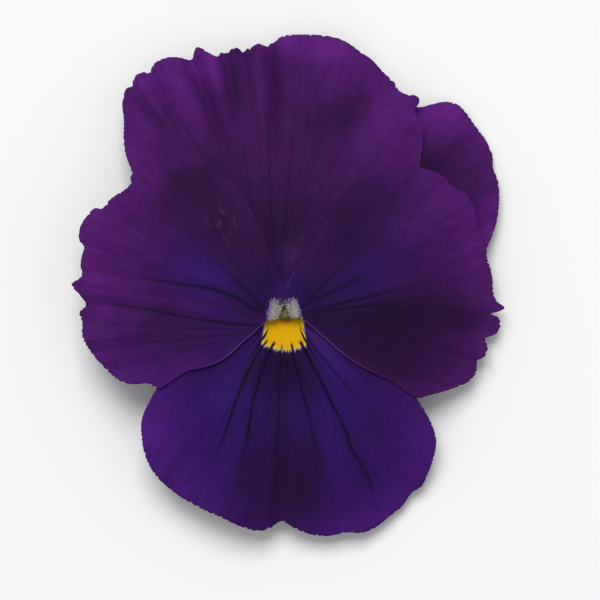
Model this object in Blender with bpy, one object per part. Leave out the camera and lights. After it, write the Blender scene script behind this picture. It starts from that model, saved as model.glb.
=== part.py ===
"""A cut pansy bloom, lying on its back with its face up.

Every length below is in millimetres and every direction in degrees, counted anticlockwise from the right.
X runs to the right of the bloom, Y to its top and Z towards the viewer who looks down on its face.
"""

import math
from typing import NamedTuple

import bmesh
import bpy
import numpy as np

MM = 0.001

# Where the middle of the bloom's base lies, so that the finished object stands on the world origin.
BASE_CENTRE = (-0.07, 0.1, 0.0)

# Petals are thin sheets in layers. A covered petal keeps this much below the one that lies over it,
# and may rise again beside it by this much for each millimetre of distance.
PETAL_THICKNESS = 0.4
LAYER_DROP = 1.05
RISE_BESIDE = 0.7
BLEND_HEIGHT = 0.5

# Grid of a petal: rows down its claw, rows over its blade and the power that spreads them.
# A cover's outline is followed at this many points.
CLAW_ROWS = 3
BLADE_ROWS = 10
ROW_CROWDING = 0.85
COVER_SAMPLES = 90

# A petal falls from its throat to its rim by this power of the way out. Its folds are at full height
# at this many petal lengths, and the dip at its throat ends this far from its centre.
FALL_POWER = 1.7
FOLD_END = 1.05
DIP_END = 5.5

# The receptacle, on which everything sits.
RECEPTACLE = (-0.35, -1.5)
RECEPTACLE_TOP = 6.2
RECEPTACLE_RADIUS = 1.7
SEAT_GAP = 0.3
CLAW_ROOT_Z = RECEPTACLE_TOP + SEAT_GAP

# A claw is a short gutter: the radius of its foot, how far it rises straight up from there
# and how far it runs in line with the blade before it joins it. The lip's claw is the spur's mouth.
CLAW_RADIUS = 0.42
CLAW_RISE = 1.6
CLAW_LEAD = 0.9
MOUTH_RISE = 0.8

# The nectar spur: stations from its tip to its mouth as (height, place along Y, inner radius).
SPUR_X = -0.4
SPUR_STATIONS = (
    (1.0, -6.0, 0.45),
    (1.4, -5.9, 0.72),
    (2.6, -5.65, 0.86),
    (4.4, -5.3, 0.95),
    (6.4, -4.95, 1.0),
)
SPUR_TIP_Z = 0.85
SPUR_REAR_COLUMNS = 7

# Sepals.
SEPAL_THICKNESS = 0.5
SEPAL_SEAT_Z = 4.9
SEPAL_COLLAR = RECEPTACLE_RADIUS + SEAT_GAP + 0.15
SEPAL_LENGTH = 13.5
# Half its width at fractions of the way from the tip of its backward lobe to its own tip.
SEPAL_HALF_WIDTH = 2.3
SEPAL_HALF_WIDTHS = (
    (0, 0.3),
    (0.06, 0.75),
    (0.2, 0.8),
    (0.3, 1.15),
    (0.55, SEPAL_HALF_WIDTH),
    (0.8, 1.5),
    (1, 0.25),
)
SEPAL_CUP = 0.35
SEPAL_ROWS = 15
SEPAL_COLUMNS = 5

# The cut stalk.
STALK_RADIUS = 1.0
STALK_DIRECTION = 126.0
STALK_RUN = 10.5
STALK_RINGS = 22
STALK_SIDES = 12

# Stamens and pistil.
STAMEN_RING = 0.95
ANTHER_RADIUS = 0.22
STIGMA_RADIUS = 0.9
PISTIL_RINGS = 24
PISTIL_SIDES = 10
STAMEN_SIDES = 8
ANTHER_RINGS = 9
TAIL_RINGS = 14
TAIL_RADIUS = 0.18
TAIL_APART = 0.38

# An anther from its foot to its tip: how far it leans in, its height, and its share of the full radius.
ANTHER_STATIONS = (
    (0.05, 6.5, 0.5),
    (0.0, 6.65, 0.85),
    (0.0, 7.0, 1.0),
    (0.02, 7.4, 0.85),
    (0.06, 7.7, 0.4),
)

# A nectar tail: the height where it leaves its anther, then how far it has run towards the lip and its
# height before it enters the spur. Inside the spur: the share of its distance from the middle, its Y
# and its height.
TAIL_FOOT_Z = 7.05
TAIL_BEND = (0.7, 7.2)
TAIL_STATIONS = ((1.0, -4.0, 7.05), (1.0, -4.7, 6.3), (0.9, -5.1, 4.9), (0.8, -5.4, 3.6))

# A rod's end caps are welded to its sides within this distance.
CAP_WELD = 0.001


class Petal(NamedTuple):
    """How one petal is cut, how it lies and how it is folded."""

    centre: tuple
    root: tuple
    columns: int
    start: float
    length: float
    throat: float
    rim: tuple
    dip: float
    folds: tuple
    covers: tuple
    outline: tuple


# Rim: heights in the given directions, one petal length out from the centre.
# Folds: direction, spread, the fraction of the length where it starts, and how far it rises at the margin.
PETALS = {
    "petal_lateral_left": Petal(
        centre=(-1.7, -3.5),
        root=(-1.75, -2.35),
        columns=38,
        start=0.9,
        length=27.0,
        throat=10.4,
        rim=(
            (80, 8.8), (110, 8.9), (135, 8.6), (160, 7.9), (185, 7.5), (205, 7.6), (228, 8.4),
        ),
        dip=0.0,
        folds=(
            (115, 15, 0.25, -0.8), (149, 4, 0.6, -0.7), (158, 6, 0.5, 0.7), (172, 5, 0.6, 0.8),
            (179, 4, 0.6, -0.7), (190, 8, 0.35, 0.6), (206, 6, 0.5, 0.6), (98, 6, 0.3, 0.5),
        ),
        covers=(),
        outline=(
            (-0.62, -1.8), (-0.45, -0.55), (-1.2, 1.5), (-2.45, 4.5), (-3.5, 7.6), (-4.6, 9.5),
            (-6.0, 12.1), (-8.1, 14.8), (-9.7, 15.8), (-12.4, 16.5), (-15.1, 16.3), (-16.9, 15.3),
            (-19.3, 15.2), (-21.5, 14.4), (-23.1, 13.0), (-25.4, 11.1), (-27.1, 10.5), (-28.3, 9.2),
            (-28.8, 7.3), (-28.4, 4.3), (-28.6, 1.8), (-30.0, 0.1), (-28.8, -1.1), (-28.0, -2.6),
            (-29.0, -3.8), (-28.6, -5.6), (-28.6, -7.4), (-27.1, -9.6), (-24.7, -12.0),
            (-22.6, -13.4), (-19.8, -13.4), (-17.8, -14.3), (-16.5, -13.2), (-14.0, -11.8),
            (-11.1, -11.1), (-8.6, -9.9), (-6.6, -8.1), (-4.6, -6.4), (-2.95, -4.85),
        ),
    ),
    "petal_lateral_right": Petal(
        centre=(1.2, -3.7),
        root=(1.05, -2.35),
        columns=38,
        start=0.9,
        length=27.0,
        throat=10.4,
        rim=(
            (-52, 4.6), (-35, 3.7), (-15, 3.4), (5, 3.3), (30, 4.6), (60, 6.2), (100, 8.2),
        ),
        dip=0.0,
        folds=(
            (1, 5, 0.6, 0.8), (-4, 3.5, 0.65, -0.6), (-20, 13, 0.2, -0.7), (30, 11, 0.3, 0.8),
            (50, 7, 0.4, -0.6), (66, 8, 0.35, 0.6), (-34, 6, 0.5, 0.7), (-12, 5, 0.6, 0.5),
        ),
        covers=(),
        outline=(
            (-0.27, -1.85), (-0.15, -0.65), (0.55, 1.3), (2.1, 3.7), (3.7, 6.5), (5.3, 9.4), (7.4, 12.1),
            (10.1, 14.5), (12.8, 15.9), (15.7, 16.5), (18.6, 16.4), (21.4, 15.3), (23.0, 13.8),
            (24.6, 12.9), (25.9, 10.8), (26.5, 8.1), (27.6, 5.4), (28.1, 3.0), (28.4, 1.3),
            (28.7, -0.6), (29.0, -2.3), (30.1, -3.1), (29.2, -3.9), (29.6, -5.2), (29.2, -6.6),
            (27.6, -8.0), (27.6, -9.6), (26.3, -11.2), (25.2, -13.0), (23.0, -14.1), (20.8, -14.8),
            (17.9, -15.5), (15.7, -14.1), (12.8, -12.5), (10.6, -11.4), (8.2, -9.9), (5.8, -7.9),
            (3.7, -6.05), (2.3, -4.9),
        ),
    ),
    "petal_upper_left": Petal(
        centre=(-1.2, -0.95),
        root=(-1.6, -0.35),
        columns=54,
        start=0.9,
        length=35.0,
        throat=9.5,
        rim=(
            (0, 2.4), (20, 1.8), (40, 1.8), (55, 2.2), (75, 2.6), (95, 3.2), (115, 3.8), (135, 4.8),
            (165, 6.4),
        ),
        dip=0.3,
        folds=(
            (90.5, 3.2, 0.25, -1.2), (80, 8, 0.55, 0.7), (64, 5.5, 0.35, -0.9), (52, 7, 0.4, 0.8),
            (96, 3.5, 0.45, 0.6), (100.5, 3.2, 0.45, -0.9), (105, 3.5, 0.5, 1.2),
            (110.5, 3.2, 0.5, -1.3), (117, 4.5, 0.5, 1.4), (123.5, 3.2, 0.6, -0.9),
            (129, 4.5, 0.5, 1.1), (136, 4, 0.6, -0.6),
        ),
        covers=("petal_lateral_left", "petal_lateral_right"),
        outline=(
            (-3.0, -1.0), (-6.4, 0.4), (-11.0, 2.6), (-15.5, 5.8), (-18.8, 9.6), (-20.6, 13.4),
            (-22.1, 17.3), (-22.7, 20.7), (-22.6, 23.9), (-22.6, 26.9), (-21.3, 27.8),
            (-20.9, 29.3), (-19.0, 29.9), (-18.3, 31.1), (-15.6, 31.7), (-13.4, 31.4),
            (-12.4, 33.0), (-11.1, 32.2), (-9.4, 31.8), (-8.1, 32.8), (-5.2, 33.0), (-1.9, 33.5),
            (-0.9, 34.5), (0.5, 34.9), (2.6, 35.0), (6.9, 34.7), (8.2, 33.8), (10.1, 32.6),
            (12.3, 31.2), (13.9, 29.4), (15.2, 27.4), (16.8, 26.4), (18.0, 26.2), (18.7, 22.3),
            (18.8, 18.6), (18.3, 14.2), (16.6, 9.6), (13.6, 5.8), (9.6, 2.6), (5.0, 0.4),
            (1.2, -0.7),
        ),
    ),
    "petal_upper_right": Petal(
        centre=(0.9, -0.95),
        root=(1.05, -0.35),
        columns=28,
        start=0.9,
        length=34.0,
        throat=8.6,
        rim=(
            (-40, 1.6), (-10, 1.1), (30, 0.9), (60, 0.9), (90, 1.4), (120, 2.4), (150, 4.0),
        ),
        dip=0.3,
        folds=(
            (47, 6, 0.5, 0.6), (38, 5, 0.5, -0.3), (28, 6, 0.5, 0.5), (85, 9, 0.5, 0.5),
            (17, 5, 0.6, -0.2),
        ),
        covers=("petal_lateral_left", "petal_lateral_right", "petal_upper_left"),
        outline=(
            (-0.3, 0.75), (-2.4, 4.0), (-6.0, 9.8), (-8.5, 14.6), (-9.6, 19.5), (-8.9, 24.6),
            (-6.4, 28.4), (-4.2, 29.9), (-2.0, 30.8), (3.0, 31.2), (8.0, 30.4), (12.6, 28.0),
            (16.2, 25.6), (18.3, 25.0), (20.0, 25.4), (22.2, 25.8), (23.6, 25.5), (24.9, 24.3),
            (26.2, 22.5), (27.7, 20.4), (28.6, 18.3), (28.7, 16.5), (29.3, 14.8), (29.5, 12.1),
            (29.3, 9.9), (28.6, 7.3), (27.0, 4.2), (24.0, 1.4), (19.6, -0.6), (14.4, -1.8),
            (9.0, -2.1), (4.6, -1.9), (2.2, -1.5),
        ),
    ),
    "petal_lower": Petal(
        centre=(-0.42, -3.85),
        root=(SPUR_X, SPUR_STATIONS[-1][1]),
        columns=38,
        start=1.35,
        length=31.0,
        throat=9.6,
        rim=(
            (185, 7.4), (205, 6.3), (225, 5.9), (250, 4.9), (270, 3.4), (290, 2.3), (310, 1.7),
            (330, 1.6), (355, 2.2),
        ),
        dip=1.2,
        folds=(
            (268.5, 4, 0.6, -0.9), (254, 9, 0.4, 0.7), (286, 10, 0.4, 0.7), (236, 6, 0.55, -0.6),
            (224, 6, 0.6, 0.5), (304, 5, 0.55, -0.5), (316, 6, 0.6, 0.5),
        ),
        covers=("petal_lateral_left", "petal_lateral_right"),
        outline=(
            (-3.5, -4.7), (-6.6, -5.8), (-10.6, -7.6), (-14.6, -10.2), (-17.2, -13.0),
            (-19.2, -16.0), (-20.3, -18.9), (-20.2, -21.6), (-19.6, -24.1), (-18.3, -26.4),
            (-16.8, -27.9), (-14.3, -29.7), (-11.3, -31.3), (-9.2, -32.2), (-6.5, -33.5),
            (-4.1, -34.1), (-2.5, -33.8), (-1.0, -32.8), (0.9, -33.8), (2.6, -34.5), (5.5, -34.9),
            (8.2, -34.4), (10.1, -34.5), (12.3, -33.7), (13.7, -32.6), (16.0, -30.7), (17.4, -28.8),
            (18.4, -28.2), (19.5, -26.2), (20.3, -23.8), (20.6, -21.5), (19.9, -19.1),
            (18.9, -17.3), (17.4, -15.0), (14.8, -12.4), (11.2, -9.8), (7.0, -7.4), (2.7, -5.3),
        ),
    ),
}

# Each sepal: its direction, the length of its backward lobe and the height of its tip.
SEPALS = {
    "sepal_top": (84.0, 2.2, 0.1),
    "sepal_left": (168.0, 2.2, 0.1),
    "sepal_right": (12.0, 2.2, 0.1),
    "sepal_lower_left": (222.0, 3.4, 0.1),
    "sepal_lower_right": (318.0, 3.4, 0.1),
}

# Each stamen: its direction round the pistil, and whether it has a nectar tail that reaches into the spur.
STAMENS = {
    "stamen_top": (90.0, False),
    "stamen_left": (162.0, False),
    "stamen_right": (18.0, False),
    "stamen_lower_left": (228.0, True),
    "stamen_lower_right": (312.0, True),
}


def smooth_curve(stations, at):
    """Value at the given places of a smooth curve through (place, value) stations, level past its ends."""
    place, value = np.array(stations, float).T
    slope = np.gradient(value, place)
    at = np.clip(at, place[0], place[-1])
    i = np.clip(np.searchsorted(place, at, side="right") - 1, 0, len(place) - 2)
    span = place[i + 1] - place[i]
    u = (at - place[i]) / span
    from_start = (1 + 2 * u) * (1 - u) ** 2 * value[i] + u * (1 - u) ** 2 * span * slope[i]
    to_end = u * u * (3 - 2 * u) * value[i + 1] + u * u * (u - 1) * span * slope[i + 1]
    return from_start + to_end


def ramp(start, end, at):
    """0 up to start, 1 from end on, and a smooth step between."""
    u = np.clip((at - start) / (end - start), 0, 1)
    return u * u * (3 - 2 * u)


def lower_of(a, b):
    """The lower of two heights, with the corner between them rounded off."""
    share = np.clip(0.5 + 0.5 * (b - a) / BLEND_HEIGHT, 0, 1)
    return b * (1 - share) + a * share - BLEND_HEIGHT * share * (1 - share)


def along(points, count):
    """Evenly spaced points of the smooth curve through a list of points."""
    points = np.array(points, float)
    chord = np.concatenate([[0], np.cumsum(np.linalg.norm(np.diff(points, axis=0), axis=1))])
    at = np.linspace(0, chord[-1], count)
    return np.stack([smooth_curve(np.stack([chord, axis], 1), at) for axis in points.T], 1)


def distance_outside(outline, x, y):
    """How far points lie outside a closed outline, and 0 for those inside it."""
    inside = np.zeros(np.shape(x), bool)
    nearest = np.full(np.shape(x), np.inf)
    for (x0, y0), (x1, y1) in zip(outline, np.roll(outline, -1, axis=0)):
        crosses = (y0 > y) != (y1 > y)
        rise = y1 - y0 if y1 != y0 else 1.0
        inside ^= crosses & (x < (x1 - x0) * (y - y0) / rise + x0)
        nearest = np.minimum(nearest, np.hypot(x - x0, y - y0))
    return np.where(inside, 0, nearest)


def own_height(petal, x, y):
    """Height of a petal's upper side before the petals over it press it down."""
    dx, dy = x - petal.centre[0], y - petal.centre[1]
    reach = np.hypot(dx, dy)
    middle = (petal.rim[0][0] + petal.rim[-1][0]) / 2
    direction = middle + (np.degrees(np.arctan2(dy, dx)) - middle + 180) % 360 - 180
    out = reach / petal.length
    z = petal.throat + (smooth_curve(petal.rim, direction) - petal.throat) * out**FALL_POWER
    for place, spread, start, rise in petal.folds:
        z = z + rise * np.exp(-(((direction - place) / spread) ** 2)) * ramp(start, FOLD_END, out)
    return z - petal.dip * (1 - ramp(petal.start, DIP_END, reach))


def height(name, x, y):
    """Height of a petal's upper side in the finished bloom."""
    petal = PETALS[name]
    z = own_height(petal, x, y)
    for cover in petal.covers:
        outline = along(PETALS[cover].outline, COVER_SAMPLES)
        room = RISE_BESIDE * distance_outside(outline, x, y)
        z = lower_of(z, height(cover, x, y) - LAYER_DROP + room)
    return z


def blade_grid(name):
    """Points of a petal's blade: one row at its throat edge, the last at its margin."""
    petal = PETALS[name]
    margin = along(petal.outline, petal.columns)
    offset = margin - petal.centre
    reach = np.hypot(*offset.T)
    toward = offset / reach[:, None]
    rows = []
    for row in range(BLADE_ROWS + 1):
        share = (row / BLADE_ROWS) ** ROW_CROWDING
        at = petal.start + (reach - petal.start) * share
        x, y = (petal.centre + toward * at[:, None]).T
        rows.append(np.stack([x, y, height(name, x, y)], 1))
    return np.array(rows), toward


def claw_grid(blade, toward, root, root_radius, root_z, stem_rise, lead):
    """Rows that carry a blade's throat edge down to an arc at its root."""
    foot = np.column_stack([root + toward * root_radius, np.full(len(toward), root_z)])
    edge = blade[0]
    inward = edge - blade[1]
    inward /= np.linalg.norm(inward, axis=1)[:, None]
    above = foot + (0, 0, stem_rise)
    before = edge + inward * lead
    rows = []
    for row in range(CLAW_ROWS):
        u = row / CLAW_ROWS
        near_foot = (1 - u) ** 3 * foot + 3 * u * (1 - u) ** 2 * above
        rows.append(near_foot + 3 * u * u * (1 - u) * before + u**3 * edge)
    return np.array(rows)


def sheet(name, mesh_points, faces, thickness, material):
    """A sheet of even thickness below the given surface, as one closed object."""
    shape = bmesh.new()
    corners = [shape.verts.new(np.array(point) * MM) for point in mesh_points]
    for face in faces:
        shape.faces.new([corners[i] for i in face])
    mesh = bpy.data.meshes.new(name)
    shape.to_mesh(mesh)
    shape.free()
    mesh.shade_smooth()
    mesh.materials.append(material)
    piece = bpy.data.objects.new(name, mesh)
    bpy.context.scene.collection.objects.link(piece)
    solid = piece.modifiers.new("thickness", "SOLIDIFY")
    solid.thickness = thickness * MM
    solid.offset = -1
    return piece


def grid_faces(rows, columns):
    """Quads of a grid of points stored row by row, whose left side looks up when rows run outwards."""
    faces = []
    for row in range(rows - 1):
        for column in range(columns - 1):
            a = row * columns + column
            faces.append((a, a + columns, a + columns + 1, a + 1))
    return faces


def make_petal(name, material):
    petal = PETALS[name]
    blade, toward = blade_grid(name)
    claw = claw_grid(blade, toward, np.array(petal.root), CLAW_RADIUS, CLAW_ROOT_Z, CLAW_RISE, CLAW_LEAD)
    grid = np.concatenate([claw, blade])
    faces = grid_faces(len(grid), petal.columns)
    if petal.outline[0][0] < petal.outline[-1][0]:
        faces = [face[::-1] for face in faces]
    return sheet(name, grid.reshape(-1, 3), faces, PETAL_THICKNESS, material)


def make_lip(name, material):
    """The lower petal, whose claw widens into a mouth and runs on into the hollow nectar spur."""
    petal = PETALS[name]
    blade, toward = blade_grid(name)
    mouth_z, mouth_y, mouth_radius = SPUR_STATIONS[-1]
    claw = claw_grid(blade, toward, np.array(petal.root), mouth_radius, mouth_z, MOUTH_RISE, MOUTH_RISE)
    columns = petal.columns
    front = np.concatenate([claw, blade])
    points = list(front.reshape(-1, 3))
    faces = grid_faces(len(front), columns)
    angles = np.unwrap(np.arctan2(toward[:, 1], toward[:, 0]))
    turn = angles[0] + math.tau
    rear = np.linspace(angles[-1], turn, SPUR_REAR_COLUMNS + 2)[1:-1]
    ring = np.concatenate([angles, rear])
    upper = list(range(columns))
    for angle in rear:
        upper.append(len(points))
        x = SPUR_X + mouth_radius * math.cos(angle)
        points.append((x, mouth_y + mouth_radius * math.sin(angle), mouth_z))
    for z, y, radius in reversed(SPUR_STATIONS[:-1]):
        lower = []
        for angle in ring:
            lower.append(len(points))
            points.append((SPUR_X + radius * math.cos(angle), y + radius * math.sin(angle), z))
        for i in range(len(ring)):
            j = (i + 1) % len(ring)
            faces.append((lower[i], upper[i], upper[j], lower[j]))
        upper = lower
    points.append((SPUR_X, SPUR_STATIONS[0][1], SPUR_TIP_Z))
    for i in range(len(ring)):
        faces.append((len(points) - 1, upper[i], upper[(i + 1) % len(ring)]))
    return sheet(name, points, faces, PETAL_THICKNESS, material)


def make_sepal(name, material):
    """A narrow green leaf under the petals. Its path starts at the tip of the backward lobe."""
    direction, lobe, tip_z = SEPALS[name]
    path = (
        (0.75, SEPAL_SEAT_Z - lobe),
        (0.3, SEPAL_SEAT_Z - 0.45 * lobe),
        (0.0, SEPAL_SEAT_Z),
        (0.9, SEPAL_SEAT_Z + 0.65),
        (3.0, SEPAL_SEAT_Z + 0.3),
        (6.0, 3.9),
        (9.0, 2.2),
        (SEPAL_LENGTH - 1.5, 0.75),
        (SEPAL_LENGTH, SEPAL_THICKNESS + tip_z),
    )
    line = along(path, SEPAL_ROWS) + (SEPAL_COLLAR, 0)
    width = smooth_curve(SEPAL_HALF_WIDTHS, np.linspace(0, 1, SEPAL_ROWS))
    angle = math.radians(direction)
    out = np.array((math.cos(angle), math.sin(angle)))
    side = np.array((-out[1], out[0]))
    points = []
    for (reach, z), half in zip(line, width):
        for across in np.linspace(-1, 1, SEPAL_COLUMNS):
            x, y = RECEPTACLE + out * reach + side * across * half
            points.append((x, y, z + SEPAL_CUP * half / SEPAL_HALF_WIDTH * across * across))
    return sheet(name, points, grid_faces(SEPAL_ROWS, SEPAL_COLUMNS), SEPAL_THICKNESS, material)


def rod(name, stations, count, sides, material):
    """A round rod of changing radius along a smooth route of (x, y, z, radius) stations."""
    route = along(stations, count)
    curve = bpy.data.curves.new(name, "CURVE")
    curve.dimensions = "3D"
    curve.bevel_depth = MM
    curve.bevel_resolution = sides // 2 - 2
    curve.use_fill_caps = True
    spline = curve.splines.new("POLY")
    spline.points.add(count - 1)
    for point, (x, y, z, radius) in zip(spline.points, route):
        point.co = (x * MM, y * MM, z * MM, 1)
        point.radius = radius
    helper = bpy.data.objects.new(name, curve)
    mesh = bpy.data.meshes.new_from_object(helper)
    bpy.data.objects.remove(helper)
    bpy.data.curves.remove(curve)
    shape = bmesh.new()
    shape.from_mesh(mesh)
    bmesh.ops.remove_doubles(shape, verts=shape.verts, dist=CAP_WELD * MM)
    shape.to_mesh(mesh)
    shape.free()
    mesh.name = name
    mesh.shade_smooth()
    mesh.materials.append(material)
    piece = bpy.data.objects.new(name, mesh)
    bpy.context.scene.collection.objects.link(piece)
    return piece


def make_stalk(material):
    """The cut stalk: it swells into the receptacle, bends over behind the bloom and lies on the ground."""
    x, y = RECEPTACLE
    angle = math.radians(STALK_DIRECTION)
    across, up = math.cos(angle), math.sin(angle)
    profile = (
        (0.0, RECEPTACLE_TOP, RECEPTACLE_RADIUS),
        (0.0, 5.7, RECEPTACLE_RADIUS),
        (0.0, 4.9, 1.55),
        (0.05, 4.1, 1.2),
        (0.25, 3.1, STALK_RADIUS),
        (0.9, 2.0, STALK_RADIUS),
        (2.2, 1.25, STALK_RADIUS),
        (4.0, 1.05, STALK_RADIUS),
        (7.0, 1.02, STALK_RADIUS),
        (STALK_RUN, STALK_RADIUS, STALK_RADIUS),
    )
    stations = [(x + run * across, y + run * up, z, radius) for run, z, radius in profile]
    return rod("pedicel", stations, STALK_RINGS, STALK_SIDES, material)


def make_pistil(material):
    """Ovary, a style that bends towards the lip, and the round stigma that shows in the throat."""
    x, y = RECEPTACLE
    bend = (
        (0.0, RECEPTACLE_TOP + SEAT_GAP, 0.35),
        (0.0, 6.8, 0.48),
        (0.0, 7.2, 0.42),
        (0.0, 7.6, 0.22),
        (0.3, 8.0, 0.22),
        (0.8, 8.3, 0.34),
        (1.3, 8.5, 0.6),
        (1.85, 8.75, 0.86),
        (2.35, 8.95, STIGMA_RADIUS),
        (2.75, 9.05, 0.6),
        (2.9, 9.1, 0.3),
    )
    stations = [(x, y - forward, z, radius) for forward, z, radius in bend]
    return rod("pistil", stations, PISTIL_RINGS, PISTIL_SIDES, material)


def make_stamen(name, material):
    """A short filament and its anther. The two lower ones have a tail that reaches into the spur."""
    direction, has_tail = STAMENS[name]
    angle = math.radians(direction)
    out_x, out_y = math.cos(angle), math.sin(angle)
    x, y = RECEPTACLE
    stations = []
    for inward, z, thickness in ANTHER_STATIONS:
        reach = STAMEN_RING - inward
        stations.append((x + reach * out_x, y + reach * out_y, z, thickness * ANTHER_RADIUS))
    piece = rod(name, stations, ANTHER_RINGS, STAMEN_SIDES, material)
    if has_tail:
        start_x, start_y = x + STAMEN_RING * out_x, y + STAMEN_RING * out_y
        apart = math.copysign(TAIL_APART, out_x)
        bend_run, bend_z = TAIL_BEND
        route = [(start_x, start_y, TAIL_FOOT_Z, TAIL_RADIUS)]
        route.append((start_x, start_y - bend_run, bend_z, TAIL_RADIUS))
        for share, tail_y, z in TAIL_STATIONS:
            route.append((SPUR_X + share * apart, tail_y, z, TAIL_RADIUS))
        tail = rod(name + "_tail_guide", route, TAIL_RINGS, STAMEN_SIDES, material)
        tail.hide_render = True
        tail.display_type = "WIRE"
        join = piece.modifiers.new("tail", "BOOLEAN")
        join.operation = "UNION"
        join.solver = "EXACT"
        join.object = tail
    return piece


def plain_material(name, colour, roughness):
    material = bpy.data.materials.new(name)
    material.use_nodes = True
    shader = material.node_tree.nodes["Principled BSDF"]
    shader.inputs["Base Color"].default_value = (*colour, 1)
    shader.inputs["Roughness"].default_value = roughness
    shader.inputs["Metallic"].default_value = 0
    return material


def clear_scene():
    for thing in list(bpy.data.objects):
        bpy.data.objects.remove(thing)


def main():
    clear_scene()
    velvet = plain_material("petal_purple", (0.06, 0.01, 0.12), 0.7)
    lip_violet = plain_material("petal_violet", (0.08, 0.02, 0.22), 0.7)
    green = plain_material("leaf_green", (0.10, 0.22, 0.05), 0.6)
    stalk_green = plain_material("stalk_green", (0.16, 0.28, 0.08), 0.55)
    olive = plain_material("stigma_olive", (0.32, 0.34, 0.09), 0.5)
    cream = plain_material("anther_cream", (0.75, 0.55, 0.25), 0.6)
    pieces = []
    for name in PETALS:
        if name == "petal_lower":
            pieces.append(make_lip(name, lip_violet))
        else:
            pieces.append(make_petal(name, velvet))
    for name in SEPALS:
        pieces.append(make_sepal(name, green))
    pieces.append(make_stalk(stalk_green))
    pieces.append(make_pistil(olive))
    for name in STAMENS:
        pieces.append(make_stamen(name, cream))
    bloom = bpy.data.objects.new("bloom", None)
    bpy.context.scene.collection.objects.link(bloom)
    bloom.location = [-length * MM for length in BASE_CENTRE]
    for piece in bpy.data.objects:
        if piece is not bloom:
            piece.parent = bloom
    print(len(pieces), "pieces")


main()
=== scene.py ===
# %% [markdown]
# # A pansy bloom, cut and laid on its back
#
# A pansy has five petals in layers. Two upper petals lie at the back, two lateral petals lie over
# them, and the lip, the lowest petal, carries the yellow eye and runs back into a hollow spur. Behind
# them are five green sepals and the cut stalk, and in the throat a round stigma among five stamens.
#
# The construction model already says where each of these lies and how large it is. This file gives
# every piece its real surface: thin velvet sheets with a finely toothed margin, branching veins, tufts
# of hair at the throat, and the finish of each. All lengths are written in millimetres, and MM turns
# them into the metres that Blender works in.

import math
from typing import NamedTuple

import bpy
import numpy as np
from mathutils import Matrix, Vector


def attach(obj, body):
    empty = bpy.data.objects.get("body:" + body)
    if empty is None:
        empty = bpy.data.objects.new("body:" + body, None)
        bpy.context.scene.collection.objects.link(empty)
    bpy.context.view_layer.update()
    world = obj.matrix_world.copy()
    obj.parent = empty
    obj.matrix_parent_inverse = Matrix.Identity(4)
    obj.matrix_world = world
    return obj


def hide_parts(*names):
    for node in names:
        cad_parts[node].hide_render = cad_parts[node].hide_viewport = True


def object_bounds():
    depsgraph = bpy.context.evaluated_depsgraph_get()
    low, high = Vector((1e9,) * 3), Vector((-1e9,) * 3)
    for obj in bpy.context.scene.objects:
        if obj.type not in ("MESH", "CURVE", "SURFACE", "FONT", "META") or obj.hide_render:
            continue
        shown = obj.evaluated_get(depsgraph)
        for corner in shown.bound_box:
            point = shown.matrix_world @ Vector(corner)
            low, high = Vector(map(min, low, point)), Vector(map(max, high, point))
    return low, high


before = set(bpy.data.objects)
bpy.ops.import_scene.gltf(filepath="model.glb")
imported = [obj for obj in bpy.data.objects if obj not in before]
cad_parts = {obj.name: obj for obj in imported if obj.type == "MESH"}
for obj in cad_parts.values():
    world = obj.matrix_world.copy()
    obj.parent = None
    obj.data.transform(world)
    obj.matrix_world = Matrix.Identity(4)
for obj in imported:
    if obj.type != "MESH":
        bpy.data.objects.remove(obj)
cad_low, cad_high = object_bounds()
MM = 0.001
cad_size = [round(side / MM, 1) for side in cad_high - cad_low]
print("construction nodes:", len(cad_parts), "size in mm:", cad_size)

# %% [markdown]
# ## Curves that the whole bloom is drawn with
#
# Petals have no straight lines, so every profile here is a smooth curve through a few stations. A few
# helpers do all of it: a curve through stations, a soft step, a soft hill, the lower of two heights with
# the corner rounded, and even points along an outline. The construction model is shaped the same way.

# %% Smooth curves and steps
BLEND_HEIGHT = 0.5


def smooth_curve(stations, at):
    """Value at the given places of a smooth curve through (place, value) stations, level past its ends."""
    place, value = np.array(stations, float).T
    slope = np.gradient(value, place)
    at = np.clip(at, place[0], place[-1])
    i = np.clip(np.searchsorted(place, at, side="right") - 1, 0, len(place) - 2)
    span = place[i + 1] - place[i]
    u = (at - place[i]) / span
    from_start = (1 + 2 * u) * (1 - u) ** 2 * value[i] + u * (1 - u) ** 2 * span * slope[i]
    to_end = u * u * (3 - 2 * u) * value[i + 1] + u * u * (u - 1) * span * slope[i + 1]
    return from_start + to_end


def ramp(start, end, at):
    """0 up to start, 1 from end on, and a smooth step between."""
    u = np.clip((at - start) / (end - start), 0, 1)
    return u * u * (3 - 2 * u)


def bump(middle, spread, at):
    """1 at the middle, falling off smoothly on both sides."""
    return np.exp(-(((at - middle) / spread) ** 2))


def lower_of(a, b):
    """The lower of two heights, with the corner between them rounded off."""
    share = np.clip(0.5 + 0.5 * (b - a) / BLEND_HEIGHT, 0, 1)
    return b * (1 - share) + a * share - BLEND_HEIGHT * share * (1 - share)


def along(points, count):
    """Evenly spaced points of the smooth curve through a list of points."""
    points = np.array(points, float)
    chord = np.concatenate([[0], np.cumsum(np.linalg.norm(np.diff(points, axis=0), axis=1))])
    at = np.linspace(0, chord[-1], count)
    return np.stack([smooth_curve(np.stack([chord, axis], 1), at) for axis in points.T], 1)


print("a soft step at a quarter of its way:", ramp(0, 1, 0.25))
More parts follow.
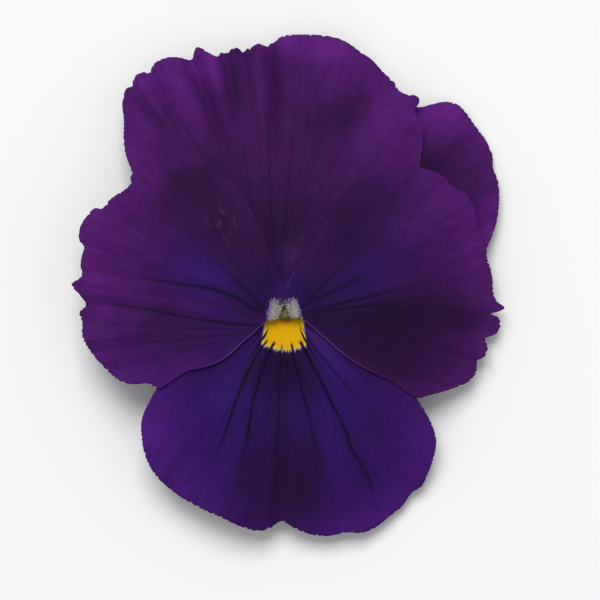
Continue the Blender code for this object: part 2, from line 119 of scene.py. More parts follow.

# %% [markdown]
# ## The cut of the petals
#
# Each petal is an outline, a height at its throat, heights round its rim and a few radial folds. They
# follow the construction model, with the margins and the ruffle drawn more finely. Two things are added
# for the look: its main veins and its washes of colour. A vein is three directions, near the throat, in
# the middle and at the rim, because the veins of the lateral petals swing as they run out. A wash is a
# soft patch: where it lies, how far it spreads and how strong it is. Besides the petal's dyes, many dark
# washes are painted shade in the creases, in the throat and under the petals above, and many magenta and
# all pale washes are painted highlight on lit ruffles and margins. Painting by such patches keeps every
# colour adjustable. Directions are in degrees, counted anticlockwise from the right.

# %% Petal outlines, folds, veins and washes


class Petal(NamedTuple):
    """How one petal is cut, how it lies, how it is folded, and how it is coloured."""

    centre: tuple
    root: tuple
    columns: int
    start: float
    length: float
    throat: float
    rim: tuple
    dip: float
    folds: tuple
    covers: tuple
    outline: tuple
    veins: tuple
    ink_start: float
    margin_blush: tuple
    washes: tuple


# Centre: where reach and direction are measured from. Root: where the claw stands on the receptacle.
# Columns: how many lines of points run to the margin. Start: the reach where the blade begins.
# Throat: the height at the centre. Dip: how far the petal is pressed down round its throat.
# Covers: the petals that lie over it. Ink start: the reach from which its veins have all their ink.
# Margin blush: how strong the magenta along the margin is, and how far in it goes.
# Rim: heights in the given directions, one petal length out from the centre.
# Folds: direction, spread, the fraction of the length where it starts, and how far it rises at the margin.
# Veins: direction near the throat, in the middle and at the rim, how dark it is and how far it stays dark.
# Washes: colour, direction, spread, reach, spread in reach, and strength.
# Dark washes on folds, in the throat and under other petals are partly painted shade and shadow. Magenta
# washes on ruffle crests and pale washes along margins are painted highlight.
PETALS = {
    "petal_lateral_left": Petal(
        centre=(-1.7, -3.5),
        root=(-1.75, -2.35),
        columns=620,
        start=0.9,
        length=27.0,
        throat=10.4,
        rim=((80, 8.8), (110, 8.9), (135, 8.6), (160, 7.9), (185, 7.5), (205, 7.6), (228, 8.4)),
        dip=0.0,
        folds=(
            (115, 15, 0.25, -0.8), (149, 4, 0.6, -0.7), (158, 6, 0.5, 0.7), (172, 5, 0.6, 0.8),
            (179, 4, 0.6, -0.7), (190, 8, 0.35, 0.6), (206, 6, 0.5, 0.6), (98, 6, 0.3, 0.5),
        ),
        covers=(),
        outline=(
            (-0.43, -1.8), (-0.3, -0.55), (-1.15, 1.5), (-2.45, 4.5), (-3.5, 7.6), (-4.6, 9.5),
            (-6.0, 12.1), (-8.1, 14.8), (-9.7, 15.8), (-12.4, 16.5), (-15.1, 16.3), (-16.9, 15.6),
            (-19.3, 15.6), (-21.1, 15.7), (-21.75, 15.2), (-21.75, 14.2), (-22.7, 13.2), (-23.6, 12.7),
            (-24.9, 11.7), (-25.7, 10.75), (-26.8, 10.75), (-27.8, 9.7), (-28.6, 8.5), (-28.9, 7.4),
            (-28.9, 6.3), (-28.2, 5.3), (-28.5, 4.3), (-28.7, 2.6), (-28.5, 1.5), (-29.95, 0.1),
            (-29.0, -1.1), (-28.0, -2.7), (-28.9, -3.6), (-28.5, -5.2), (-28.5, -6.9), (-27.6, -8.7),
            (-26.25, -10.4), (-24.9, -11.8), (-23.1, -13.2), (-20.7, -13.6), (-19.4, -13.45),
            (-17.9, -14.2), (-16.5, -13.35), (-14.0, -11.8), (-11.1, -11.1), (-8.6, -9.9), (-6.6, -8.1),
            (-4.6, -6.4), (-2.95, -4.85),
        ),
        veins=(
            (96, 98, 92, 0.15, 12), (112, 110, 104, 0.2, 12), (126, 121, 117, 0.3, 14),
            (138, 131, 130, 0.25, 12), (154, 141, 141, 0.9, 7), (163, 151, 155, 0.2, 12),
            (172, 162, 168, 1.0, 18), (198, 173, 173, 0.35, 20), (222, 186, 175.5, 0.9, 22),
            (226, 193, 183, 0.45, 24), (230, 200, 191, 0.5, 22), (233, 206, 200, 0.35, 18),
            (236, 213, 209, 0.2, 12), (239, 220, 219, 0.2, 12),
        ),
        ink_start=0.01,
        margin_blush=(0.35, 5.0),
        washes=(
            ("magenta_and_lit_ruffles", 155, 26, 24, 7, 0.24), ("magenta_and_lit_ruffles", 206, 15, 20, 7, 0.22),
            ("magenta_and_lit_ruffles", 177, 9, 24, 6, 0.36), ("violet", 152, 22, 10, 7, 0.9),
            ("dusk", 148, 8, 19.5, 5, 0.25), ("dusk", 134, 7, 18.5, 4, 0.35),
            ("dusk", 131, 6, 12.8, 3, 0.3), ("dusk", 116, 9, 21.5, 2.2, 0.6),
            ("dusk", 182, 6, 26.5, 2, 0.3), ("dusk", 213, 9, 7.5, 3.5, 0.35),
            ("dusk", 216, 6, 17.5, 4, 0.2), ("wine", 198, 9, 14, 6, 0.3), ("violet", 115, 80, 3, 4.0, 0.95),
            ("glow", 154, 11, 11, 4, 0.35), ("violet", 215, 18, 8, 6, 0.6), ("violet", 190, 22, 7, 4, 0.6),
            ("violet", 206, 17, 19, 8, 0.4), ("dusk", 120, 15, 17, 8, 0.75), ("dusk", 95, 16, 9, 7, 0.75),
            ("dusk", 126, 7, 22.5, 3, 0.7), ("dusk", 126, 14, 10.5, 4, 0.5), ("dusk", 107, 8, 13, 6, 0.3),
            ("dusk", 184, 8, 16, 5, 0.35), ("dusk", 170, 30, 4, 3, 0.35),
            ("shadow_and_dark_dye", 125, 50, 3.8, 3.6, 0.65), ("shadow_and_dark_dye", 180, 28, 2.5, 2, 0.5),
            ("dusk", 200, 12, 11, 5, 0.2), ("scuff", 121.5, 5.5, 14, 2.2, 0.75),
            ("pale", 224, 7, 8, 8, 1.0),
        ),
    ),
    "petal_lateral_right": Petal(
        centre=(1.2, -3.7),
        root=(1.05, -2.35),
        columns=620,
        start=0.9,
        length=27.0,
        throat=10.4,
        rim=((-52, 4.6), (-35, 3.7), (-15, 3.4), (5, 3.3), (30, 4.6), (60, 6.2), (100, 8.2)),
        dip=0.0,
        folds=(
            (1, 5, 0.6, 0.8), (-4, 3.5, 0.65, -0.6), (-20, 13, 0.2, -0.7), (30, 11, 0.3, 0.8),
            (50, 7, 0.4, -0.6), (66, 8, 0.35, 0.6), (-34, 6, 0.5, 0.7), (-12, 5, 0.6, 0.5),
        ),
        covers=(),
        outline=(
            (-0.34, -1.85), (-0.23, -0.65), (0.5, 1.3), (2.1, 3.7), (3.7, 6.5), (5.3, 9.4), (7.4, 12.1),
            (10.1, 14.5), (12.8, 15.9), (15.7, 16.5), (18.6, 16.4), (21.4, 15.3), (23.0, 13.8),
            (24.6, 12.9), (25.9, 10.8), (26.5, 8.1), (27.6, 5.4), (27.7, 4.2), (28.2, 2.5), (28.5, 0.8),
            (28.7, -1.3), (29.05, -2.1), (30.2, -3.1), (29.3, -3.6), (28.3, -3.9), (29.4, -4.5),
            (29.65, -5.5), (29.1, -6.6), (27.5, -7.5), (27.8, -8.3), (27.6, -9.6), (26.4, -10.5),
            (26.2, -12.1), (25.3, -13.2), (23.4, -14.1), (21.7, -14.65), (19.6, -15.15), (17.9, -15.5),
            (15.6, -13.95), (12.8, -12.5), (10.6, -11.4), (8.2, -9.9), (5.8, -7.9), (3.7, -6.05),
            (2.3, -4.9),
        ),
        veins=(
            (-52, -42, -40, 0.2, 12), (-44, -33, -31, 0.2, 14), (-36, -24, -22, 0.25, 14),
            (-28, -16, -14, 0.2, 12), (-20, -8, -6, 0.6, 9), (-8, -1, 0, 0.3, 20), (3.5, 5, 5.5, 0.8, 13),
            (8.5, 12, 11.5, 0.9, 13), (20, 19, 19, 0.25, 12), (36, 27, 27, 0.8, 9), (46, 44.5, 41, 0.7, 8),
            (60, 55, 51, 0.2, 14), (74, 68, 62, 0.2, 14), (90, 82, 76, 0.15, 14), (104, 96, 90, 0.15, 12),
        ),
        ink_start=0.01,
        margin_blush=(0.3, 5.0),
        washes=(
            ("magenta_and_lit_ruffles", 18, 14, 26, 4, 0.3), ("magenta_and_lit_ruffles", 36, 9, 22.5, 4, 0.25), ("glow", 27, 8, 11, 4, 0.3),
            ("glow", 13, 6, 9, 4, 0.35), ("magenta_and_lit_ruffles", -10, 13, 28, 3, 0.38), ("violet", 28, 18, 9, 7, 0.9),
            ("wine", -10, 16, 14, 7, 0.45), ("shadow_and_dark_dye", -22, 18, 14, 7, 0.3),
            ("shadow_and_dark_dye", 30, 40, 2.6, 1.8, 0.55), ("dusk", 28, 6, 12.5, 4, 0.2),
            ("dusk", -37, 7, 10.5, 4, 0.35), ("dusk", -11, 7, 23, 4, 0.25), ("dusk", 24, 10, 16, 4, 0.2),
            ("shadow_and_dark_dye", 50, 22, 3.4, 2.5, 0.4), ("violet", 60, 80, 3, 4.0, 0.95),
            ("violet", 50, 14, 12, 4, 0.25), ("violet", -20, 20, 5, 4, 0.5),
            ("violet", 58, 20, 17, 6, 0.25), ("dusk", -10, 15, 12, 8, 0.9), ("dusk", 0, 9, 17, 8, 0.8),
            ("dusk", 1, 6, 22, 5, 0.3), ("dusk", -28, 12, 9, 6, 0.7), ("dusk", -30, 9, 16, 5, 0.7),
            ("dusk", 66, 24, 15, 10, 0.8), ("shadow_and_dark_dye", 12, 45, 7.5, 5, 0.45), ("shadow_and_dark_dye", 2, 10, 13, 6, 0.4),
            ("shadow_and_dark_dye", 50, 12, 12, 4, 0.35), ("shadow_and_dark_dye", -30, 20, 3.5, 3, 0.5), ("shadow_and_dark_dye", 95, 35, 3.5, 3, 0.5),
            ("shadow_and_dark_dye", -15, 22, 2.4, 1.4, 0.5), ("pale", -42, 9, 6, 7, 1.0), ("pale", 112, 16, 5.8, 2, 0.8),
        ),
    ),
    "petal_upper_left": Petal(
        centre=(-1.2, -0.95),
        root=(-1.6, -0.35),
        columns=700,
        start=0.9,
        length=35.0,
        throat=9.5,
        rim=(
            (0, 2.4), (20, 1.8), (40, 1.8), (55, 2.2), (75, 2.6), (95, 3.2), (115, 3.8), (135, 4.8),
            (165, 6.4),
        ),
        dip=0.3,
        folds=(
            (91, 2.2, 0.25, -1.1), (80, 8, 0.55, 0.7), (64, 5.5, 0.35, -0.8), (52, 7, 0.4, 0.8),
            (95.5, 3, 0.45, 0.7), (99, 1.3, 0.6, -0.7), (103.2, 1.8, 0.5, -0.8), (106.5, 3, 0.5, 0.9),
            (110.8, 1.8, 0.5, -1.1), (115.5, 3.5, 0.5, 0.9), (120.7, 1.5, 0.55, -0.7),
            (125.7, 1.5, 0.65, -0.6), (129, 4.5, 0.5, 0.8), (136, 4, 0.6, -0.5),
        ),
        covers=("petal_lateral_left", "petal_lateral_right"),
        outline=(
            (-3.0, -1.0), (-6.4, 0.4), (-11.0, 2.6), (-15.5, 5.8), (-18.8, 9.6), (-20.6, 13.4),
            (-21.9, 16.4), (-22.6, 18.4), (-22.9, 21.4), (-22.85, 23.0), (-23.05, 25.5), (-22.85, 26.5),
            (-22.7, 27.2), (-22.3, 27.65), (-21.75, 27.8), (-21.65, 28.6), (-21.25, 29.3), (-20.7, 29.7),
            (-20.0, 29.85), (-19.4, 29.75), (-19.1, 30.35), (-18.65, 31.1), (-17.9, 31.5), (-16.7, 31.85),
            (-14.9, 31.8), (-14.0, 31.6), (-13.45, 31.65), (-13.2, 32.5), (-12.75, 33.3), (-12.0, 33.05),
            (-11.1, 32.5), (-9.75, 32.05), (-9.35, 32.6), (-8.7, 32.5), (-8.1, 32.95), (-7.5, 33.25),
            (-6.95, 33.2), (-6.3, 32.6), (-5.7, 33.1), (-5.1, 33.25), (-4.6, 33.65), (-4.1, 33.8),
            (-3.5, 33.55), (-2.9, 33.5), (-2.35, 33.9), (-1.75, 34.2), (-1.2, 34.75), (-0.5, 35.0),
            (1.0, 35.1), (3.0, 35.1), (5.0, 35.0), (6.65, 34.7), (8.75, 33.7), (10.1, 32.7), (11.6, 31.7),
            (13.3, 29.9), (15.0, 28.2), (15.35, 27.4), (16.8, 26.65), (18.05, 26.55), (18.3, 25.7),
            (17.7, 24.6), (18.7, 22.5), (18.8, 20.0), (18.45, 17.6), (18.3, 14.2), (16.6, 9.6), (13.6, 5.8),
            (9.6, 2.6), (5.0, 0.4), (1.2, -0.7),
        ),
        veins=(
            (8, 8, 8, 0.15, 12), (20, 20, 20, 0.15, 12), (32, 32, 32, 0.15, 14), (43, 43, 43, 0.2, 16),
            (54, 54, 54, 0.2, 20), (64, 62, 60, 0.25, 20), (72, 71, 66, 0.35, 24), (77, 76, 74.5, 0.35, 32),
            (82, 81, 80, 0.3, 30), (87, 85, 85, 0.6, 24), (92, 91, 90, 0.2, 14), (97, 96, 93.5, 0.75, 22),
            (102, 101, 97, 0.3, 30), (109, 110, 102, 0.55, 21), (115, 116, 110, 0.25, 22),
            (120, 121, 119, 0.4, 26), (128, 129, 127, 0.25, 22), (136, 137, 136, 0.2, 18),
            (146, 146, 146, 0.15, 14), (157, 157, 157, 0.15, 12), (169, 169, 169, 0.15, 12),
        ),
        ink_start=16.0,
        margin_blush=(0.3, 5.0),
        washes=(
            ("dusk", 90, 45, 8.5, 7, 0.85), ("violet", 80, 40, 3.5, 3, 0.9),
            ("haze", 73, 12, 5.6, 2.2, 0.75), ("haze", 40, 30, 1.2, 0.6, 0.8),
            ("dusk", 102, 2.4, 31, 5, 0.55), ("dusk", 92.5, 1.8, 30, 7, 0.45),
            ("dusk", 90.8, 0.8, 29, 8, 0.7), ("magenta_and_lit_ruffles", 116.5, 4, 31, 6, 0.6), ("magenta_and_lit_ruffles", 123, 3, 35, 3, 0.6),
            ("magenta_and_lit_ruffles", 134, 7, 29, 5, 0.3), ("dusk", 111, 1.3, 28.5, 5, 0.3),
            ("dusk", 120.8, 1.2, 28, 5, 0.2), ("magenta_and_lit_ruffles", 107, 2.5, 33.5, 3.5, 0.7),
            ("dusk", 125.5, 1.6, 31, 4, 0.3), ("magenta_and_lit_ruffles", 45, 9, 24, 8, 0.2), ("dusk", 114, 8, 20.5, 5, 0.38),
            ("dusk", 78, 5, 24, 5, 0.4), ("magenta_and_lit_ruffles", 78, 8, 35.5, 3.5, 0.7), ("dusk", 70, 5, 26.5, 3.5, 0.6),
            ("magenta_and_lit_ruffles", 60, 6, 27.5, 5, 0.42), ("magenta_and_lit_ruffles", 75, 4, 29.5, 2.5, 0.4),
            ("magenta_and_lit_ruffles", 94.5, 2.5, 29.5, 3, 0.3), ("magenta_and_lit_ruffles", 89, 4, 35.5, 2.5, 0.6),
            ("magenta_and_lit_ruffles", 110.5, 1.8, 34, 2.5, 0.6), ("dusk", 96.7, 1.6, 32.5, 2.5, 0.35),
            ("dusk", 90, 1.6, 22.5, 4, 0.3), ("dusk", 99, 2.5, 34.5, 2, 0.5), ("magenta_and_lit_ruffles", 93, 6, 20, 5, 0.12),
        ),
    ),
    "petal_upper_right": Petal(
        centre=(0.9, -0.95),
        root=(1.05, -0.35),
        columns=440,
        start=0.9,
        length=34.0,
        throat=8.6,
        rim=((-40, 1.6), (-10, 1.1), (30, 0.9), (60, 0.9), (90, 1.4), (120, 2.4), (150, 4.0)),
        dip=0.3,
        folds=(
            (47, 6, 0.5, 0.6), (38, 5, 0.5, -0.3), (28, 6, 0.5, 0.5), (85, 9, 0.5, 0.5), (17, 5, 0.6, -0.2),
        ),
        covers=("petal_lateral_left", "petal_lateral_right", "petal_upper_left"),
        outline=(
            (-0.3, 0.75), (-2.4, 4.0), (-6.0, 9.8), (-8.5, 14.6), (-9.6, 19.5), (-8.9, 24.6), (-6.4, 28.4),
            (-4.2, 29.9), (-2.0, 30.8), (3.0, 31.2), (8.0, 30.4), (12.6, 28.0), (16.2, 25.6), (18.3, 25.0),
            (20.0, 25.4), (22.2, 25.8), (23.6, 25.5), (24.9, 24.3), (26.2, 22.5), (27.7, 20.4),
            (28.6, 18.3), (28.7, 16.5), (29.3, 14.8), (29.5, 12.1), (29.3, 9.9), (28.6, 7.3), (27.0, 4.2),
            (24.0, 1.4), (19.6, -0.6), (14.4, -1.8), (9.0, -2.1), (4.6, -1.9), (2.2, -1.5),
        ),
        veins=tuple((place, place, place, 0.3, 24) for place in range(-15, 151, 11)),
        ink_start=16.0,
        margin_blush=(0.4, 5.0),
        washes=(
            ("dusk", 45, 10, 24, 5, 0.7), ("dusk", 30, 14, 20, 6, 0.4), ("magenta_and_lit_ruffles", 50, 8, 32, 4, 0.7),
            ("dusk", 32, 4, 31, 3, 0.4), ("dusk", 44, 4, 28, 4, 0.35), ("magenta_and_lit_ruffles", 17, 6, 29, 3, 0.5),
        ),
    ),
    "petal_lower": Petal(
        centre=(-0.42, -3.85),
        root=(-0.4, -4.95),
        columns=640,
        start=0.95,
        length=31.0,
        throat=9.9,
        rim=(
            (185, 8.2), (205, 7.2), (225, 6.4), (250, 5.1), (270, 3.6), (290, 2.6), (310, 2.3), (330, 2.8),
            (355, 3.6),
        ),
        dip=1.2,
        folds=(
            (268.5, 4, 0.6, -0.9), (254, 9, 0.4, 0.7), (286, 10, 0.4, 0.7), (236, 6, 0.55, -0.6),
            (224, 6, 0.6, 0.5), (304, 5, 0.55, -0.5), (316, 6, 0.6, 0.5),
        ),
        covers=("petal_lateral_left", "petal_lateral_right"),
        outline=(
            (-3.5, -4.7), (-6.6, -5.8), (-10.6, -7.6), (-14.6, -10.2), (-17.2, -13.0), (-19.2, -16.0),
            (-20.3, -18.9), (-20.2, -21.6), (-19.6, -24.1), (-18.3, -26.4), (-16.8, -27.9), (-14.3, -29.7),
            (-11.3, -31.3), (-9.2, -32.2), (-6.5, -33.5), (-4.1, -34.1), (-2.5, -33.8), (-1.0, -32.8),
            (0.9, -33.8), (2.6, -34.5), (5.5, -34.9), (8.2, -34.4), (10.1, -34.5), (12.3, -33.7),
            (13.7, -32.6), (16.0, -30.7), (17.4, -28.8), (18.4, -28.2), (19.5, -26.2), (20.3, -23.8),
            (20.6, -21.5), (19.9, -19.1), (18.9, -17.3), (17.4, -15.0), (14.8, -12.4), (11.2, -9.8),
            (7.0, -7.2), (4.4, -5.6), (2.9, -4.7),
        ),
        veins=(
            (188, 191, 192, 0.2, 12), (197, 202, 203, 0.2, 12), (206, 213, 214, 0.25, 14),
            (214, 226, 229, 0.4, 10), (224, 233.5, 236, 1.0, 5), (240, 238.5, 245, 0.78, 21),
            (253, 249, 254, 0.9, 20), (266, 266, 267, 0.65, 24), (274, 274, 276, 0.4, 9),
            (282, 282.5, 284, 0.8, 19), (299, 298.3, 296.5, 0.9, 27), (313, 303.5, 304, 1.0, 5),
            (320, 310, 312, 0.55, 20), (326, 320, 319, 0.25, 16), (334, 332, 331, 0.2, 12),
            (343, 342, 342, 0.2, 12), (352, 352, 352, 0.2, 12),
        ),
        ink_start=0.01,
        margin_blush=(0.15, 5.0),
        washes=(
            ("violet", 270, 120, 12, 26, 1.0), ("glow", 236, 8, 11.5, 5, 0.9),
            ("glow", 314, 8, 8.5, 4, 0.95), ("glow", 303, 16, 15, 7, 0.3), ("glow", 275, 14, 14, 4, 0.2),
            ("brim", 221, 15, 26, 4.5, 0.8), ("brim", 318, 12, 28, 4.5, 0.55),
            ("brim", 207, 11, 20, 6, 0.75), ("brim", 334, 10, 21, 6, 0.9), ("brim", 243, 12, 31, 4, 0.5),
            ("brim", 300, 12, 32.5, 4, 0.6), ("brim", 283, 10, 33, 3, 0.6), ("dusk", 269, 5.5, 22, 9, 0.75),
            ("dusk", 260, 4, 23, 8, 0.6), ("dusk", 278, 4, 22, 6, 0.6), ("dusk", 296.5, 3, 22, 6, 0.3),
            ("dusk", 268, 11, 17, 7, 0.22), ("dusk", 308, 8, 20, 5, 0.2), ("shadow_and_dark_dye", 267, 32, 7, 4.6, 1.0),
            ("dusk", 262, 8, 12, 5, 0.2), ("shadow_and_dark_dye", 214, 7, 13, 7, 0.6), ("shadow_and_dark_dye", 324, 5, 16, 7, 0.4),
            ("glow", 323, 7, 6.5, 3, 0.6), ("haze", 323, 7, 6, 3, 0.3), ("dusk", 240, 7, 8.5, 4, 0.6),
            ("dusk", 287, 5, 9.5, 3, 0.5), ("dusk", 275, 4, 24.5, 4, 0.75), ("dusk", 282, 3.5, 21, 4, 0.65),
            ("dusk", 255, 3.5, 22, 5, 0.5), ("dusk", 266.5, 2, 20, 6, 0.5), ("violet", 284, 12, 14, 4, 0.3),
            ("wine", 266.5, 4, 24, 4, 0.5), ("wine", 272, 4, 25, 3, 0.3), ("violet", 270, 6, 13, 3, 0.3),
        ),
    ),
}
print("petals:", ", ".join(PETALS))

# %% [markdown]
# ## How the petals lie on each other
#
# Every petal falls from its throat to its rim and is pressed down by the petals that lie over it. The
# fine surface adds what the construction model leaves out: a small frill near the margin, and the soft
# quilting of the blade between its veins. The frill comes before the pressing down, so a hidden petal
# never pushes through the one on top.

# %% Height of every petal
LAYER_DROP = 0.36
RISE_BESIDE = 1.2
COVER_SAMPLES = 90
FALL_POWER = 1.7
FOLD_END = 1.05
DIP_END = 5.5
FRILL_START = 0.62
FRILLS = ((11.0, 0.12), (6.3, 0.05), (3.4, 0.02))
FRILL_DRIFT = (2.0, 2.7)
QUILT_HEIGHT = 0.03
QUILT_REACHES = (5.0, 12.0)
VEIN_REACHES = (3.0, 11.0, 27.0)
NEAREST_BEND = 1.9


def polar(petal, x, y):
    """Direction and reach of points, seen from a petal's centre."""
    dx, dy = x - petal.centre[0], y - petal.centre[1]
    middle = (petal.rim[0][0] + petal.rim[-1][0]) / 2
    direction = middle + (np.degrees(np.arctan2(dy, dx)) - middle + 180) % 360 - 180
    return direction, np.hypot(dx, dy)


def vein_field(petal, direction, reach):
    """Which vein a point lies by (veins lie at whole numbers), and the veins' distance there."""
    # A straight line has a direction that changes evenly with one over the reach.
    stations = [-1 / station for station in VEIN_REACHES]
    nearer = np.maximum(0, 1 / np.maximum(reach, NEAREST_BEND) + stations[0]) / (stations[1] - stations[0])
    paths = []
    for near, middle, rim, *_ in petal.veins:
        path = smooth_curve(tuple(zip(stations, (near, middle, rim))), -1 / reach)
        paths.append(path + (near - middle) * nearer)
    gaps = [after - before for before, after in zip(paths, paths[1:])]
    number = np.minimum(0, (direction - paths[0]) / gaps[0])
    for path, gap in zip(paths, gaps):
        number = number + np.clip((direction - path) / gap, 0, 1)
    number = number + np.maximum(0, (direction - paths[-1]) / gaps[-1])
    within = np.clip(number, 0, len(paths) - 1)
    spacing = np.zeros(np.shape(reach))
    for i in range(len(paths)):
        around = gaps[max(i - 1, 0)] / 2 + gaps[min(i, len(gaps) - 1)] / 2
        spacing = spacing + around * np.clip(1 - np.abs(within - i), 0, 1)
    return number, np.radians(spacing) * reach


def own_height(petal, x, y):
    """Height of a petal's upper side before the petals over it press it down."""
    direction, reach = polar(petal, x, y)
    out = reach / petal.length
    z = petal.throat + (smooth_curve(petal.rim, direction) - petal.throat) * out**FALL_POWER
    for place, spread, start, rise in petal.folds:
        z = z + rise * bump(place, spread, direction) * ramp(start, FOLD_END, out)
    drift, slower = FRILL_DRIFT
    for period, rise in FRILLS:
        turn = math.tau * direction / period + petal.length * period
        z = z + rise * np.sin(turn + drift * np.sin(turn / slower)) * ramp(FRILL_START, FOLD_END, out)
    number, _ = vein_field(petal, direction, reach)
    z = z - QUILT_HEIGHT * np.cos(math.tau * number) * ramp(*QUILT_REACHES, reach)
    return z - petal.dip * (1 - ramp(petal.start, DIP_END, reach))


def distance_outside(outline, x, y):
    """How far points lie outside a closed outline, and 0 for those inside it."""
    inside = np.zeros(np.shape(x), bool)
    nearest = np.full(np.shape(x), np.inf)
    for (x0, y0), (x1, y1) in zip(outline, np.roll(outline, -1, axis=0)):
        crosses = (y0 > y) != (y1 > y)
        rise = y1 - y0 if y1 != y0 else 1.0
        inside ^= crosses & (x < (x1 - x0) * (y - y0) / rise + x0)
        share = ((x - x0) * (x1 - x0) + (y - y0) * (y1 - y0)) / ((x1 - x0) ** 2 + (y1 - y0) ** 2)
        share = np.clip(share, 0, 1)
        nearest = np.minimum(nearest, np.hypot(x - x0 - share * (x1 - x0), y - y0 - share * (y1 - y0)))
    return np.where(inside, 0, nearest)


def height(name, x, y):
    """Height of a petal's upper side in the finished bloom."""
    petal = PETALS[name]
    z = own_height(petal, x, y)
    for cover in petal.covers:
        outline = along(PETALS[cover].outline, COVER_SAMPLES)
        room = RISE_BESIDE * distance_outside(outline, x, y)
        z = lower_of(z, height(cover, x, y) - LAYER_DROP + room)
    return z


lip_rim = height("petal_lower", np.array([-0.4]), np.array([-30.0]))
print("the lip's height near its margin, in mm:", np.round(lip_rim, 2))

# %% [markdown]
# ## Lines from the throat to the margin
#
# A petal is laid out on lines that run from the throat to the margin, as its veins do. Straight lines
# would pile up along the lower sides of a petal, where its margin runs almost towards the throat. There
# the lines leave the throat further in, and curve out to the margin.
#
# A pansy's margin is finely scalloped, with small notches a little under a millimetre apart. They could
# be a pattern in the finish, but then the outline would stay smooth against the ground. So they are
# real cuts, made along the same lines. The sides near the throat stay smooth, as on the real petal.

# %% Fan lines and scalloped margins
LEAST_TURN = 0.002
LINE_PULL = 0.45
SIDE_SHARE = (0.15, 0.35)
TEETH_REACHES = (3.0, 6.0)
TEETH_SQUARENESS = (0.15, 0.6)
TOOTH_WIDTH = 0.8
TOOTH_DRIFTS = ((0.6, 1.9, 1), (0.4, 0.83, 2))
TOOTH_DEPTH = 0.36
TOOTH_DEPTH_SHARES = (0.1, 1.0)
TOOTH_DEPTH_POWER = 1.5
TOOTH_ROUNDNESS = 0.65
TOOTH_LIFT = 0.12
LIP_SEED = 4


def never_back(turn):
    """A run of directions without its steps backwards, so that no two lines cross."""
    way = np.sign(turn[-1] - turn[0])
    even = LEAST_TURN * np.arange(len(turn))
    return way * (np.maximum.accumulate(way * turn - even) + even)


def unit(degrees):
    """Arrows of length 1 in the given directions."""
    return np.stack([np.cos(np.radians(degrees)), np.sin(np.radians(degrees))], -1)


def fan_lines(petal, seed):
    """For each column: its arrow at the throat, its throat point, its pull point and its margin point."""
    straight, reach = polar(petal, *along(petal.outline, petal.columns).T)
    straight = never_back(straight)
    margin = petal.centre + reach[:, None] * unit(straight)
    lean = np.linspace(straight[0], straight[-1], petal.columns) - straight
    inward = np.sign((straight[0] + straight[-1]) / 2 - straight)
    from_end = np.minimum(np.arange(petal.columns), np.arange(petal.columns)[::-1]) / petal.columns
    fan = straight + np.where(lean * inward > 0, lean, 0) * (1 - ramp(*SIDE_SHARE, from_end))
    toward = unit(never_back(fan))
    pull = petal.centre + toward * (LINE_PULL * reach)[:, None]
    arriving = margin - pull
    arriving /= np.linalg.norm(arriving, axis=1)[:, None]
    step = np.gradient(margin, axis=0)
    step /= np.linalg.norm(step, axis=1)[:, None]
    squareness = np.abs(step[:, 0] * arriving[:, 1] - step[:, 1] * arriving[:, 0])
    amount = ramp(*TEETH_SQUARENESS, squareness) * ramp(*TEETH_REACHES, reach)
    cut = tooth_cut(margin, seed) * amount
    return toward, petal.centre + petal.start * toward, pull, margin - arriving * cut[:, None]


def tooth_cut(margin, seed):
    """How deep the margin is cut at each point, for small rounded teeth of varied width and depth."""
    run = np.concatenate([[0], np.cumsum(np.linalg.norm(np.diff(margin, axis=0), axis=1))])
    phase = run / TOOTH_WIDTH
    for share, period, turns in TOOTH_DRIFTS:
        phase = phase + share * np.sin(run / period + turns * seed)
    knots = np.arange(math.floor(phase.min()), math.ceil(phase.max()) + 1)
    depths = np.random.default_rng(seed).uniform(*TOOTH_DEPTH_SHARES, len(knots)) ** TOOTH_DEPTH_POWER
    depth = TOOTH_DEPTH * np.interp(phase, knots, depths)
    return depth * (1 - np.abs(np.sin(math.pi * phase)) ** TOOTH_ROUNDNESS) - TOOTH_LIFT


lip_cut = tooth_cut(along(PETALS["petal_lower"].outline, PETALS["petal_lower"].columns), LIP_SEED)
print("deepest notch of the lip, in mm:", round(lip_cut.max(), 2))

# %% [markdown]
# ## From a grid of points to a thin petal
#
# A petal is as thin as card, yet it has a face, a back and an edge, and each has its own colour. One
# way is a single surface with a thickness modifier. Here both sides are built directly, so that the
# face, the back and the edge get their own material and their own room in a flat map, which keeps the
# fine veins sharp wherever the model is used. Values that the finishes need, such as the reach from the
# throat, are stored on the points of the mesh.

# %% Thin sheets with a face, a back and an edge
MAP_NAME = "OFBake"
# Map: the room left round a side's drawing, the share of the map that a side may fill, how far it stays
# off the map's left and foot, how wide the edge is drawn, and how far up all of it then moves.
MAP_ROOM = 1.04
MAP_HALF = 0.49
MAP_MARGIN = 0.005
MAP_RIM = 0.003
MAP_RISE = 0.25
BACK_MAP = (0.5, 0.0)
# As in the construction model, this moves the middle of the bloom's outline to the origin.
BLOOM_SHIFT = np.array((0.07, -0.1, 0.0))
FACE, BACK, EDGE = range(3)


class Sheet(NamedTuple):
    """One side of a thin piece: points, faces, values for its finish, and a petal's two flat maps."""

    points: np.ndarray
    quads: np.ndarray
    values: dict
    flat: np.ndarray = None
    flat_claw: np.ndarray = None
    in_claw: np.ndarray = None


def grid_quads(rows, columns, closed=False):
    """Faces of a grid of points stored row by row."""
    across = np.arange(columns if closed else columns - 1)
    first = (np.arange(rows - 1)[:, None] * columns + across).ravel()
    beside = (np.arange(rows - 1)[:, None] * columns + (across + 1) % columns).ravel()
    return np.stack([first, first + columns, beside + columns, beside], 1)


